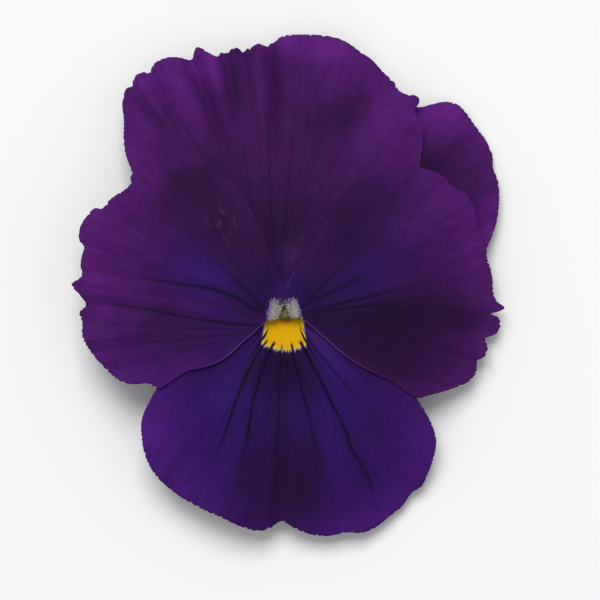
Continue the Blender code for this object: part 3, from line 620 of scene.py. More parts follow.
def point_normals(points, quads):
    """Directions square to the surface at each point."""
    corners = points[quads]
    facing = np.cross(corners[:, 2] - corners[:, 0], corners[:, 3] - corners[:, 1])
    normals = np.zeros_like(points)
    for corner in quads.T:
        np.add.at(normals, corner, facing)
    return normals / np.maximum(np.linalg.norm(normals, axis=1), 1e-12)[:, None]


def open_edges(quads):
    """Directed edges that belong to one face only."""
    edges = np.concatenate([quads[:, [i, (i + 1) % 4]] for i in range(4)])
    _, first, count = np.unique(np.sort(edges, axis=1), axis=0, return_index=True, return_counts=True)
    return edges[first[count == 1]]


def mesh_object(name, points, faces, materials, values, face_materials=None):
    """A smooth-shaded object from points in millimetres, with values stored on its points."""
    mesh = bpy.data.meshes.new(name)
    mesh.from_pydata((points + BLOOM_SHIFT) * MM, [], faces)
    for material in materials:
        mesh.materials.append(material)
    if face_materials is not None:
        mesh.polygons.foreach_set("material_index", np.array(face_materials, np.int32))
    for key, value in values.items():
        layer = mesh.attributes.new(key, "FLOAT", "POINT")
        layer.data.foreach_set("value", np.asarray(value, np.float32).ravel())
    mesh.shade_smooth()
    mesh.update()
    piece = bpy.data.objects.new(name, mesh)
    bpy.context.scene.collection.objects.link(piece)
    return piece


def lay_flat(piece, sheet, rim):
    """Gives face, back and edge their own places in one square map, with the claw in a strip of its own."""
    both = np.concatenate([sheet.flat, sheet.flat_claw])
    low = both.min(0)
    side = (both.max(0) - low).max() * MAP_ROOM

    def placed(points, claw):
        flat = np.where(claw[..., None], sheet.flat_claw[points], sheet.flat[points])
        return (flat - low) / side * MAP_HALF + MAP_MARGIN

    face = placed(sheet.quads, sheet.in_claw[:, None])
    back = face[:, ::-1] + BACK_MAP
    rim_claw = np.isin(rim, sheet.quads[sheet.in_claw]).all(1)
    start, end = placed(rim[:, 0], rim_claw), placed(rim[:, 1], rim_claw)
    band = np.stack([end, start, start, end], 1)
    away = band[:, 2:] - face.reshape(-1, 2).mean(0)
    away /= np.maximum(np.linalg.norm(away, axis=2), 1e-9)[:, :, None]
    band[:, 2:] += away * MAP_RIM
    corners = np.concatenate([part.reshape(-1, 2) for part in (face, back, band)])
    corners[:, 1] += MAP_RISE
    layer = piece.data.uv_layers.new(name=MAP_NAME)
    layer.data.foreach_set("uv", corners.astype(np.float32).ravel())


def thin_piece(name, sheet, thickness, materials):
    """Both sides and the edge of a sheet, with the given thickness at each point, as one closed piece."""
    points, quads = sheet.points, sheet.quads
    normals = point_normals(points, quads)
    under = points - normals * np.broadcast_to(thickness, len(points))[:, None]
    count = len(points)
    rim = open_edges(quads)
    band = np.stack([rim[:, 1], rim[:, 0], rim[:, 0] + count, rim[:, 1] + count], 1)
    faces = np.concatenate([quads, quads[:, ::-1] + count, band])
    kinds = np.repeat([FACE, BACK, EDGE], [len(quads), len(quads), len(band)])
    values = {key: np.tile(value.ravel(), 2) for key, value in sheet.values.items()}
    piece = mesh_object(name, np.concatenate([points, under]), faces.tolist(), materials, values, kinds)
    if sheet.flat is not None:
        lay_flat(piece, sheet, rim)
    return piece


print("a grid of 3 by 4 points has", len(grid_quads(3, 4)), "faces")

# %% [markdown]
# ## Shader sums written as sums
#
# A finish is a network of small nodes. Writing each node by hand hides what is being worked out, so one
# small class wraps a socket and turns ordinary Python arithmetic into Math nodes. A bench holds one
# material: it adds any other node, with its settings first and then its sockets, and it has a few
# shorthands for the nodes that every finish here uses.

# %% A bench for finishes


class Wire:
    """A value inside a material. Sums with it add Math nodes."""

    def __init__(self, bench, socket):
        self.bench = bench
        self.socket = socket

    def math(self, operation, *others):
        """What one Math node makes of this value and the others."""
        return self.bench.add("ShaderNodeMath", {"operation": operation}, dict(enumerate((self, *others))))

    def __add__(self, other):
        return self.math("ADD", other)

    def __sub__(self, other):
        return self.math("SUBTRACT", other)

    def __rsub__(self, other):
        return self.bench.add("ShaderNodeMath", {"operation": "SUBTRACT"}, {0: other, 1: self})

    def __mul__(self, other):
        return self.math("MULTIPLY", other)

    def __truediv__(self, other):
        return self.math("DIVIDE", other)

    def __abs__(self):
        return self.math("ABSOLUTE")

    __radd__ = __add__
    __rmul__ = __mul__


class Bench:
    """Where one material is put together."""

    def __init__(self, name):
        self.material = bpy.data.materials.new(name)
        self.material.use_nodes = True
        self.tree = self.material.node_tree
        self.shader = self.tree.nodes["Principled BSDF"]

    def plug(self, socket, value):
        """Links a wire to a socket, or gives the socket a value of its own."""
        if isinstance(value, Wire):
            self.tree.links.new(value.socket, socket)
        elif isinstance(value, tuple) and len(value) == 3 and len(socket.default_value) == 4:
            socket.default_value = (*value, 1)
        else:
            socket.default_value = value

    def add(self, kind, settings=None, inputs=None, output=0):
        """Adds a node, sets it, plugs its sockets, and gives one of its outputs."""
        node = self.tree.nodes.new(kind)
        for key, value in (settings or {}).items():
            setattr(node, key, value)
        for key, value in (inputs or {}).items():
            self.plug(node.inputs[key], value)
        return Wire(self, node.outputs[output])

    def stored(self, name):
        """A value stored on the points of the mesh."""
        return self.add("ShaderNodeAttribute", {"attribute_name": name}, output="Fac")

    def place(self):
        """Where a point lies on its piece."""
        return self.add("ShaderNodeTexCoord", output="Object")

    def step(self, start, end, value):
        """0 up to start, 1 from end on, and a smooth step between."""
        sockets = {"Value": value, "From Min": start, "From Max": end}
        return self.add("ShaderNodeMapRange", {"interpolation_type": "SMOOTHSTEP"}, sockets)

    def noise(self, size, detail=2.0, place=None):
        """Smooth noise from 0 to 1, with features of this size in millimetres, or in units of the place."""
        where = place or self.place()
        scale = 1.0 / size if place else 1.0 / (size * MM)
        return self.add("ShaderNodeTexNoise", {}, {"Vector": where, "Scale": scale, "Detail": detail})

    def mix(self, a, b, share):
        """Colour a where share is 0 or less, and colour b where it is 1 or more."""
        return self.add("ShaderNodeMix", {"data_type": "RGBA"}, {0: share, 6: a, 7: b}, output=2)

    def tint(self, colour, amount):
        """A colour made lighter or darker by a value."""
        grey = self.add("ShaderNodeCombineColor", {}, {0: amount, 1: amount, 2: amount})
        settings = {"data_type": "RGBA", "blend_type": "MULTIPLY"}
        return self.add("ShaderNodeMix", settings, {0: 1.0, 6: colour, 7: grey}, output=2)

    def relief(self, height, depth):
        """A normal that follows a height, whose full range stands this many millimetres high."""
        return self.add("ShaderNodeBump", {}, {"Strength": 1.0, "Distance": depth * MM, "Height": height})

    def finish(self, **sockets):
        """Plugs the shader's own sockets, and gives the material."""
        for key, value in sockets.items():
            self.plug(self.shader.inputs[key.replace("_", " ")], value)
        return self.material


print("finishes are put together on a", Bench.__name__.lower())

# %% [markdown]
# ## The branching veins
#
# Petal veins branch again and again on their way to the margin. A drawn texture could show them, but it
# would be fixed in size. The stored vein number gives a better start: a main vein runs wherever it is a
# whole number. Pairs of side veins leave it one after the other, each from a reach of its own, and swing
# out into the strip between two main veins. They are finer and fainter than the vein that they leave.
# A little noise bends the strips, and breaks the ink as the velvet does on the real petal. Beside a dark
# vein the colour has run a little, like ink into cloth, so a soft stain goes round it.

# %% Vein lines from the vein number
# Side veins: the reach where a pair starts, how much that varies, the way that it takes to swing out,
# how far it swings out, and how dark it is beside its main vein.
SIDE_VEINS = (
    (5.5, 3.5, 8.0, 0.44, 0.4),
    (10.0, 4.0, 8.0, 0.42, 0.45),
    (14.5, 4.0, 7.0, 0.38, 0.4),
    (19.0, 4.0, 6.0, 0.32, 0.35),
)
SIDE_VEIN_WIDTH = 0.65
SIDE_VEIN_LENGTH = 2.2
SIDE_VEIN_LOSS = 0.6
VEIN_WIDTH = 0.05
VEIN_WIDTH_BY_INK = 0.16
VEIN_TAPER = (3.0, 24.0, 0.45)
VEIN_SOFTNESS = 2.5
VEIN_STRENGTH = 0.95
STAIN = 0.45
STAIN_WIDTH = 0.9
WANDER = 0.3
WANDER_REACHES = (2.0, 12.0)


def vein_lines(bench, number, spacing, reach, ink):
    """How dark the veins are drawn: 0 beside them."""
    wander = bench.noise(6.0, 1.0) + 0.14 * bench.noise(1.4, 1.0) - 0.57
    strip = number + WANDER * wander * bench.step(*WANDER_REACHES, reach) + 0.5
    inside = strip.math("FRACT") - 0.5
    side = (strip * 2.0).math("FLOOR")
    taper_start, taper_end, loss = VEIN_TAPER
    taper = 1.0 - loss * bench.step(taper_start, taper_end, reach)
    rough = 0.6 + 0.8 * bench.noise(0.8, 2.0)
    width = (ink * VEIN_WIDTH_BY_INK + VEIN_WIDTH) * taper * rough
    dark = 1.0 - bench.step(0.0, VEIN_SOFTNESS, abs(inside) * spacing / width)
    for level, (start, vary, run, spread, share) in enumerate(SIDE_VEINS):
        luck = bench.add("ShaderNodeTexWhiteNoise", {"noise_dimensions": "1D"}, {"W": side + 0.37 * level})
        begin = luck * vary + start
        parted = ((reach - begin) / run).math("MINIMUM", 1.0).math("MAXIMUM", 0.0)
        swing = parted * (2.0 - parted) * spread
        apart = abs(abs(inside) - swing) * spacing / (width * SIDE_VEIN_WIDTH)
        fading = SIDE_VEIN_LOSS * bench.step(run, run * SIDE_VEIN_LENGTH, reach - begin)
        fresh = bench.step(0.0, 0.03, parted) * (1.0 - fading)
        dark = dark.math("MAXIMUM", (1.0 - bench.step(0.0, VEIN_SOFTNESS, apart)) * fresh * share)
    broken = (bench.noise(2.2, 2.0) * 1.7 + 0.55 - 0.5 * bench.step(4.0, 14.0, reach)).math("MINIMUM", 1.0)
    stain = (1.0 - bench.step(0.0, STAIN_WIDTH, abs(inside) * spacing)) * ink * STAIN
    return (dark * broken).math("MAXIMUM", stain) * ink * VEIN_STRENGTH


print("side veins of each main vein:", 2 * len(SIDE_VEINS))

# %% [markdown]
# ## Velvet
#
# A dark pansy looks like velvet because its face is covered in tiny cone-shaped cells, which swallow
# light from the front and glow a little at a slant. So the face is rough, almost without gloss, with
# some sheen. Its colour is built like a dyer would: purple first, then washes of magenta, blue-violet
# and near-black, fine streaks along the petal, the veins in dark ink, and a paler cut edge. Not all of
# it is dye: the near-black washes are partly painted shade and shadow, the magenta on the ruffles is
# partly painted highlight, and the pale line along the margin is a painted highlight, as the cut edge
# partly is. The back of the petal has the same pattern, but paler and smoother.

# %% Petal colours
PURPLE = (0.0405, 0.0049, 0.073)
# Magenta is the margin's own dye; where its wash lies on ruffle crests it is painted highlight.
MAGENTA = (0.109, 0.0128, 0.186)
# These washes go over the purple and the magenta, in this order.
WASH_COLOURS = {
    "violet": (0.025, 0.0049, 0.101),
    "glow": (0.036, 0.0095, 0.140),
    "brim": (0.071, 0.0104, 0.192),
    "haze": (0.075, 0.0270, 0.135),
    # Painted shade in the creases and along shaded petal edges, over the petal's own darker dye.
    "dusk": (0.015, 0.0028, 0.028),
    "wine": (0.024, 0.0036, 0.033),
    # Painted shadow under the petals that lie over others and painted shade in the throat, over the darkest
    # dye.
    "shadow_and_dark_dye": (0.009, 0.0022, 0.026),
}
INK = (0.005, 0.0016, 0.014)
# Painted highlight where the margin catches the light; on the cut edge also its paler tissue.
PALE_EDGE_AND_HIGHLIGHT = (0.17, 0.09, 0.30)
SCUFF = (0.095, 0.038, 0.072)
BACK_PURPLE = (0.15, 0.045, 0.20)
CLAW_GREEN = (0.30, 0.34, 0.16)
SHEEN_TINT = (0.5, 0.15, 0.8, 1.0)
YELLOW = (0.62, 0.34, 0.0015)
LEMON = (0.60, 0.45, 0.010)
# Darker amber towards the throat: partly the eye's own colour, partly painted shade of the throat's depth.
AMBER_AND_THROAT_SHADE = (0.52, 0.23, 0.006)
EYE_RIM = (0.36, 0.31, 0.42)


def petal_skin(bench):
    """The petal's colour between its veins, and how dark the veins are drawn."""
    number, spacing, reach = (bench.stored(key) for key in ("vein_number", "vein_spacing", "reach"))
    streaks = bench.add("ShaderNodeCombineXYZ", {}, {0: number * 6.0, 1: reach * 0.4, 2: 0.0})
    fibres = bench.add("ShaderNodeCombineXYZ", {}, {0: number * 22.0, 1: reach * 1.3, 2: 0.0})
    streak = bench.noise(1.0, 3.0, streaks) - 0.5
    fibre = bench.noise(1.0, 2.0, fibres) - 0.5
    mottle = bench.noise(0.45, 3.0) - 0.5
    cloud = bench.noise(3.0, 3.0) - 0.5
    # The magenta wash is partly painted highlight on lit ruffles.
    skin = bench.mix(PURPLE, MAGENTA, bench.stored("magenta_and_lit_ruffles") + 0.3 * cloud + 0.25 * streak)
    # The two darkest washes are partly painted shade and painted shadow.
    for key, colour in WASH_COLOURS.items():
        skin = bench.mix(skin, colour, bench.stored(key))
    drawn = 0.25 + 0.75 * bench.step(3.0, 16.0, reach)
    skin = bench.tint(skin, 1.0 + (0.3 * streak + 0.25 * fibre) * drawn + 0.5 * mottle + 0.25 * cloud)
    skin = bench.mix(skin, SCUFF, bench.stored("scuff") * bench.step(0.05, 0.16, streak))
    veins = vein_lines(bench, number, spacing, reach, bench.stored("ink"))
    return skin, veins


def velvet_finish(bench, skin, veins):
    """Velvet with sunken veins and a thin pale line where the margin catches the light."""
    lit = 1.0 - bench.step(0.04, 0.22, bench.stored("inset"))
    skin = bench.mix(skin, PALE_EDGE_AND_HIGHLIGHT, lit * bench.stored("pale") * 0.42)
    cells = bench.noise(0.09, 1.0)
    relief = bench.relief(cells * 0.35 - veins * 0.65 + 1.2 * bench.noise(0.8, 3.0), 0.05)
    return bench.finish(
        Base_Color=skin, Roughness=0.66 + 0.15 * cells, Normal=relief, Specular_IOR_Level=0.07,
        Sheen_Weight=0.05, Sheen_Roughness=0.5, Sheen_Tint=SHEEN_TINT,
    )


def velvet_face():
    """The front of the upper and the lateral petals."""
    bench = Bench("petal_velvet")
    skin, veins = petal_skin(bench)
    return velvet_finish(bench, bench.mix(skin, INK, veins), veins)


def petal_back():
    """The back of every petal: paler, smoother, and green towards the claw."""
    bench = Bench("petal_back")
    skin, veins = petal_skin(bench)
    skin = bench.mix(skin, BACK_PURPLE, 0.45)
    skin = bench.mix(skin, CLAW_GREEN, 1.0 - bench.step(-1.5, 4.5, bench.stored("reach")))
    skin = bench.mix(skin, INK, veins * 0.6)
    cells = bench.noise(0.12, 1.0)
    relief = bench.relief(cells * 0.3 + veins * 0.7, 0.07)
    return bench.finish(
        Base_Color=skin, Roughness=0.46 + 0.14 * cells, Normal=relief, Specular_IOR_Level=0.3,
        Sheen_Weight=0.05, Sheen_Roughness=0.5,
    )


def petal_edge():
    """The narrow margin between the front and the back."""
    bench = Bench("petal_cut_edge")
    grain = bench.noise(0.25, 2.0)
    # The paler edge is partly painted highlight where the edge catches the light.
    colour = bench.mix(PURPLE, PALE_EDGE_AND_HIGHLIGHT, 0.1 + 0.3 * grain)
    return bench.finish(Base_Color=colour, Roughness=0.5 + 0.2 * grain, Specular_IOR_Level=0.2)


velvet, back_finish, edge_finish = velvet_face(), petal_back(), petal_edge()
print("petal finishes:", velvet.name, back_finish.name, edge_finish.name)

# %% [markdown]
# ## The yellow eye
#
# The lip has a bright yellow patch that guides insects to the throat. It ends in a ragged comb of fine
# teeth, dark lines run into it from below, and a pale rim lies round it. The patch is a distance that is
# stored on the mesh: below zero inside the patch and above zero outside, so that its edge stays crisp.

# %% The lip's face


def lip_face():
    """The lip's front: velvet, the yellow eye with its pale rim, and the whisker lines over it."""
    bench = Bench("lip_velvet")
    skin, veins = petal_skin(bench)
    skin = bench.mix(skin, INK, veins)
    past, reach = bench.stored("past_eye"), bench.stored("reach")
    rim = (1.0 - bench.step(0.0, 0.35, past)) * 0.75
    skin = bench.mix(skin, EYE_RIM, rim)
    gold = bench.mix(YELLOW, LEMON, bench.step(-0.5, 0.0, past))
    # Towards the throat the gold turns to darker amber, partly painted shade of the throat's depth.
    gold = bench.mix(AMBER_AND_THROAT_SHADE, gold, bench.step(0.9, 1.75, reach))
    gold = bench.tint(gold, 0.9 + 0.2 * bench.noise(0.35, 2.0))
    skin = bench.mix(skin, gold, 1.0 - bench.step(-0.06, 0.06, past))
    skin = bench.mix(skin, INK, (veins - 0.3) * 2.4 * bench.step(-1.2, -0.5, past))
    return velvet_finish(bench, skin, veins)


lip_velvet = lip_face()
print("lip finish:", lip_velvet.name)

# %% [markdown]
# ## Where the colours and the ink lie
#
# On the real petal the dyes lie in soft patches, and the veins fade on their way to the margin. Some
# patches here are painted shade and shadow in creases, in the throat and under overlapping petals, and
# some painted highlight on lit ruffles and along the margin. These amounts could be painted by hand.
# Here they are worked out for every point from the patches and the veins in the list of petals, so that
# a patch can be moved by changing one number.

# %% Amounts of colour and ink on a petal
# The pale amount marks where the painted highlight along the margin lies.
WASHES = ("magenta_and_lit_ruffles", *WASH_COLOURS, "pale", "scuff")
BLUSH_REACHES = (6.0, 16.0)
INK_SPREAD = 1.4
INK_FADE = (3.0, 5.0, 0.7)
INK_AT_THROAT = 0.25


def washes_on(petal, direction, reach, inset):
    """How much of each colour lies on each point."""
    strong, deep = petal.margin_blush
    amounts = {colour: np.zeros(reach.shape) for colour in WASHES}
    amounts["magenta_and_lit_ruffles"] += strong * (1 - ramp(0, deep, inset)) * ramp(*BLUSH_REACHES, reach)
    for colour, place, spread, middle, depth, strength in petal.washes:
        patch = strength * bump(place, spread, direction) * bump(middle, depth, reach)
        amounts[colour] = 1 - (1 - amounts[colour]) * (1 - patch)
    return amounts


def ink_on(petal, number, reach):
    """How much ink the veins have at each point, from that of the nearest main veins."""
    ink = np.zeros(reach.shape)
    before, after, loss = INK_FADE
    for i, (*_, dark, length) in enumerate(petal.veins):
        here = np.clip(INK_SPREAD - INK_SPREAD * np.abs(number - i), 0, 1)
        kept = 1 - loss * ramp(length - before, length + after, reach)
        ink = np.maximum(ink, here * dark * kept)
    return ink * (INK_AT_THROAT + (1 - INK_AT_THROAT) * ramp(0, petal.ink_start, reach))


print("stored colours:", ", ".join(WASHES))

# %% [markdown]
# ## Laying out one petal
#
# Each fan line becomes a column of points from the throat edge to the margin. The points crowd together
# towards the margin, where the frill and the teeth need them. Below the throat edge the petal narrows
# into its claw, a short gutter that goes down to the receptacle. Every point then gets the values for
# the finish: its vein number, its reach, its distance from the margin, and its colours and ink.

# %% Points and stored values of a petal
BLADE_ROWS = 58
MARGIN_CROWDING = 0.35
CLAW_ROWS = 7
CLAW_ROOT_Z = 6.5
CLAW_RADIUS = 0.42
CLAW_RISE = 1.6
CLAW_LEAD = 0.9
CLAW_REACH = -3.0
CLAW_MAP_WIDTH = 12.0
CLAW_MAP_DROP = 2.0
CLAW_MAP_STEP = 0.7
PETAL_THICKNESS = 0.24
MARGIN_THICKNESS = 0.12
MARGIN_TAPER = 2.5
NUMBERS_APART = 40


def distance_from(margin, flat):
    """How far the points of each row lie from the nearest point of the margin."""
    return np.array([np.linalg.norm(row[:, None] - margin, axis=2).min(1) for row in flat])


def claw_points(blade, toward, root, root_radius, root_z, rise, lead):
    """Rows that carry a blade's throat edge down to an arc at its root."""
    foot = np.column_stack([root + toward * root_radius, np.full(len(toward), root_z)])
    edge = blade[0]
    inward = edge - blade[1]
    inward /= np.linalg.norm(inward, axis=1)[:, None]
    above = foot + (0, 0, rise)
    before = edge + inward * lead
    rows = []
    for u in np.arange(CLAW_ROWS) / CLAW_ROWS:
        near_foot = (1 - u) ** 3 * foot + 3 * u * (1 - u) ** 2 * above
        rows.append(near_foot + 3 * u * u * (1 - u) * before + u**3 * edge)
    return np.array(rows)


def petal_sheet(name, seed, claw=(CLAW_RADIUS, CLAW_ROOT_Z, CLAW_RISE, CLAW_LEAD)):
    """The upper side of a petal, and everything that its finish needs to know."""
    petal = PETALS[name]
    toward, throat, pull, margin = fan_lines(petal, seed)
    even = np.linspace(0, 1, BLADE_ROWS)
    share = (even + MARGIN_CROWDING * even * (1 - even))[:, None, None]
    flat = (1 - share) ** 2 * throat + 2 * share * (1 - share) * pull + share**2 * margin
    blade = np.concatenate([flat, height(name, flat[:, :, 0], flat[:, :, 1])[:, :, None]], 2)
    lower = claw_points(blade, toward, np.array(petal.root), *claw)
    points = np.concatenate([lower, blade])
    direction, reach = polar(petal, flat[:, :, 0], flat[:, :, 1])
    direction = np.concatenate([np.repeat(direction[:1], CLAW_ROWS, 0), direction])
    below = np.linspace(CLAW_REACH, petal.start, CLAW_ROWS, endpoint=False)
    below = below[:, None] * np.ones(petal.columns)
    reach = np.concatenate([below, reach])
    inset = distance_from(margin, flat)
    inset = np.concatenate([np.repeat(inset[:1], CLAW_ROWS, 0), inset])
    number, spacing = vein_field(petal, direction, np.maximum(reach, petal.start))
    values = {
        "vein_number": number + NUMBERS_APART * seed, "vein_spacing": spacing,
        "reach": reach, "inset": inset, "ink": ink_on(petal, number, reach),
        **washes_on(petal, direction, reach, inset),
    }
    quads = grid_quads(len(points), petal.columns)
    if point_normals(points.reshape(-1, 3), quads)[-petal.columns // 2, 2] < 0:
        quads = quads[:, ::-1]
    beside = np.linspace(-CLAW_MAP_WIDTH / 2, CLAW_MAP_WIDTH / 2, petal.columns)
    strip = np.stack(np.broadcast_arrays(beside, below - petal.start), 2)
    low = points[:, :, 1].min() - CLAW_MAP_DROP
    past = np.repeat(strip[-1:] + (0, low + CLAW_MAP_STEP), BLADE_ROWS, 0)
    claw_map = np.concatenate([strip + (0, low), past]).reshape(-1, 2)
    in_claw = quads.min(1) < CLAW_ROWS * petal.columns
    points = points.reshape(-1, 3)
    return Sheet(points, quads, values, points[:, :2], claw_map, in_claw)


def petal_thickness(sheet):
    """Thickness at each point, less towards the margin."""
    full = ramp(0, MARGIN_TAPER, sheet.values["inset"].ravel())
    return MARGIN_THICKNESS + (PETAL_THICKNESS - MARGIN_THICKNESS) * full


print("points of the front upper petal:", PETALS["petal_upper_left"].columns * (BLADE_ROWS + CLAW_ROWS))

# %% [markdown]
# ## The four velvet petals
#
# The two upper and the two lateral petals are made alike. Each takes the place of its plain solid, which
# the physics keeps.

# %% Upper and lateral petals
for seed, name in enumerate(PETALS):
    if name == "petal_lower":
        continue
    sheet = petal_sheet(name, seed)
    finishes = (velvet, back_finish, edge_finish)
    piece = thin_piece("velvet_" + name, sheet, petal_thickness(sheet), finishes)
    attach(piece, "root")
    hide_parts(name)
    print(piece.name, "triangles:", 2 * len(piece.data.polygons))

# %% [markdown]
# ## The lip
#
# The lip is made like the others, except that its claw widens into the round mouth of the nectar spur.
# The yellow patch reaches a different distance in each direction. Its border gets a comb of fine teeth,
# from three saw-edged waves of different width, because the real comb is ragged.

# %% Lip with its eye
MOUTH_RADIUS = 1.0
MOUTH_Z = 6.4
MOUTH_RISE = 0.8
EYE_REACH = (
    (180, 2.3), (197, 2.8), (218, 3.65), (226, 4.35), (231, 5.05), (245, 5.05), (270, 5.05), (292, 5.1),
    (306, 4.95), (311, 4.2), (319, 3.45), (342, 2.6), (355, 2.3),
)
EYE_TEETH = ((5.3, 0.36), (3.4, 0.3), (1.9, 0.16))
EYE_TEETH_DRIFT = (0.3, 4.0)
EYE_TEETH_SPAN = (268.0, 45.0)

sheet = petal_sheet("petal_lower", LIP_SEED, (MOUTH_RADIUS, MOUTH_Z, MOUTH_RISE, MOUTH_RISE))
lip = PETALS["petal_lower"]
direction, reach = polar(lip, sheet.points[:, 0], sheet.points[:, 1])
border = smooth_curve(EYE_REACH, direction)
drift, slower = EYE_TEETH_DRIFT
for period, size in EYE_TEETH:
    saw = np.abs((direction / period + drift * np.sin(direction / slower)) % 1 - 0.5) * 2
    border = border + size * (saw - 0.5) * bump(*EYE_TEETH_SPAN, direction)
sheet.values["past_eye"] = reach - border
lip_piece = thin_piece("velvet_lip", sheet, petal_thickness(sheet), (lip_velvet, back_finish, edge_finish))
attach(lip_piece, "root")
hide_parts("petal_lower")
print("lip triangles:", 2 * len(lip_piece.data.polygons))

# %% [markdown]
# ## The nectar spur
#
# Behind the throat the lip runs on into a hollow spur that holds the nectar. It is a thin tube, closed
# and rounded at its tip, whose rim is tucked into the lip's claw. A tube can be a curve with a bevel,
# but its wall needs two sides and its finish needs stored values. So rings of points are set square to
# its route, and the same rings later make the hairs, the pistil, the stamens and the stalk.

# %% Spur
SPUR_X = -0.4
# Spur: height, place along y and radius, from its tip to its rim.
SPUR_STATIONS = (
    (0.85, -6.0, 0.02), (0.9, -6.0, 0.25), (1.0, -6.0, 0.45), (1.4, -5.9, 0.72), (2.6, -5.65, 0.86),
    (4.4, -5.3, 0.95), (MOUTH_Z, -4.95, MOUTH_RADIUS), (6.75, -4.9, 1.02),
)
SPUR_SIDES = 48
SPUR_ROWS = 60
SPUR_THICKNESS = 0.3


def rings(route, sides, profile=None):
    """Rings of points square to a route of (x, y, z, radius), in the section that profile gives."""
    route = np.array(route, float)
    path, radius = route[:, :3], route[:, 3]
    ahead = np.gradient(path, axis=0)
    ahead /= np.linalg.norm(ahead, axis=1)[:, None]
    side = np.cross(ahead[0], (0.0, 1.0, 0.1))
    made = []
    turn = np.linspace(0, math.tau, sides, endpoint=False)
    shape = 1.0 if profile is None else profile(turn)[:, None]
    for place, direction, wide in zip(path, ahead, radius):
        side = side - direction * (side @ direction)
        side = side / np.linalg.norm(side)
        over = np.cross(direction, side)
        ring = (np.cos(turn)[:, None] * side + np.sin(turn)[:, None] * over) * shape
        made.append(place + ring * wide)
    return np.array(made)


def spur_sheet():
    """The outer side of the spur, with how far down and how far round each point is."""
    stations = [(SPUR_X, y, z, radius) for z, y, radius in reversed(SPUR_STATIONS)]
    tube = rings(along(stations, SPUR_ROWS), SPUR_SIDES)
    rows = np.linspace(0, 1, SPUR_ROWS)[:, None] * np.ones(SPUR_SIDES)
    turn = np.linspace(0, 1, SPUR_SIDES, endpoint=False) * np.ones((SPUR_ROWS, 1))
    quads = grid_quads(SPUR_ROWS, SPUR_SIDES, closed=True)
    points = tube.reshape(-1, 3)
    axis = np.repeat(tube.mean(1), SPUR_SIDES, 0)
    facing = np.einsum("ij,ij->i", point_normals(points, quads), points - axis).mean()
    if facing > 0:
        quads = quads[:, ::-1]
    return Sheet(points, quads, {"down": rows, "turn": turn})


def spur_finish():
    bench = Bench("spur_skin")
    down = bench.stored("down")
    grain = bench.noise(0.5, 3.0)
    purple = bench.step(0.05, 0.75, down + 0.4 * grain - 0.2)
    colour = bench.mix(CLAW_GREEN, (0.23, 0.10, 0.27), purple)
    ribs = bench.stored("turn") * 12.0
    lines = 1.0 - bench.step(0.03, 0.12, abs((ribs + 0.3 * grain).math("FRACT") - 0.5))
    colour = bench.mix(colour, (0.10, 0.03, 0.13), lines * 0.45)
    relief = bench.relief(grain * 0.4 + lines * 0.6, 0.05)
    return bench.finish(
        Base_Color=colour, Roughness=0.45 + 0.15 * grain, Normal=relief, Specular_IOR_Level=0.4
    )


spur_skin = spur_finish()
spur = thin_piece("lip_spur", spur_sheet(), SPUR_THICKNESS, (spur_skin, spur_skin, spur_skin))
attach(spur, "root")
print("spur triangles:", 2 * len(spur.data.polygons))

# %% [markdown]
# ## The beards
#
# Where the lateral petals meet the throat, each carries a pad of short pale hairs that lean over the
# opening. Each hair is a small tube, a little thicker before its rounded tip. They are made as one mesh
# for each petal. How far along its hair a point is, and a shade for each hair, are stored on it, because
# the hairs are white with some cream ones among them, and bluish violet along the pad's outer fringe.

# %% Hairs of the lateral petals
HAIR_SIDES = 5
HAIR_RINGS = 6
HAIRS = 900
HAIR_THICKNESS = ((0, 0.03), (0.5, 0.028), (0.8, 0.036), (0.93, 0.042), (1, 0.015))
HAIR_LENGTH = (0.5, 1.0)
HAIR_SPREAD = 0.7
HAIR_TURN = 0.5
HAIR_LEAN = 0.6
HAIR_RISE = 0.55
HAIR_ARCH = 0.1
HAIR_SCALES = (0.8, 1.15)
# Pad: the top of its middle line; its length, and how much longer the left one is; how far its inner
# and outer borders lie from that line at the top, and how much further at the foot; the height of the
# hairs' feet along the inner border, and how much higher they stand along the outer one.
PAD_TOP = (-0.55, -2.05)
PAD_LENGTH = (2.3, 0.15)
PAD_INNER = (0.28, 0.85)
PAD_OUTER = (1.55, 1.0)
PAD_HEIGHT = (9.75, 0.5)
FRINGE_FROM = 0.7
FRINGE_TOP = 0.35
FRINGE_STRENGTHS = (0.4, 1.0)
BEARD_TOP = 10.5


def tube_faces(rows, sides):
    """Faces of a closed tube with a cap on both ends."""
    faces = grid_quads(rows, sides, closed=True).tolist()
    faces.append(list(range(sides)))
    faces.append(list(range((rows - 1) * sides, rows * sides))[::-1])
    return faces


def join_tubes(name, routes, sides, material, values):
    """Many tubes as one mesh. Values holds one list of arrays for each stored name."""
    points, faces = [], []
    for i, route in enumerate(routes):
        points.append(rings(route, sides).reshape(-1, 3))
        first = i * len(points[0])
        faces += [[corner + first for corner in face] for face in tube_faces(len(route), sides)]
    stored = {key: np.concatenate([part.ravel() for part in parts]) for key, parts in values.items()}
    return mesh_object(name, np.concatenate(points), faces, (material,), stored)


def hair_finish():
    bench = Bench("beard_hair")
    run, shade, violet = bench.stored("run"), bench.stored("shade"), bench.stored("violet")
    colour = bench.mix((0.30, 0.27, 0.32), (0.40, 0.38, 0.38), bench.step(0.1, 0.6, run))
    colour = bench.mix(colour, (0.38, 0.37, 0.22), bench.step(0.6, 0.95, shade) * 0.6)
    colour = bench.mix(colour, (0.09, 0.06, 0.26), violet)
    return bench.finish(Base_Color=colour, Roughness=0.6 + 0.1 * run, Specular_IOR_Level=0.2)


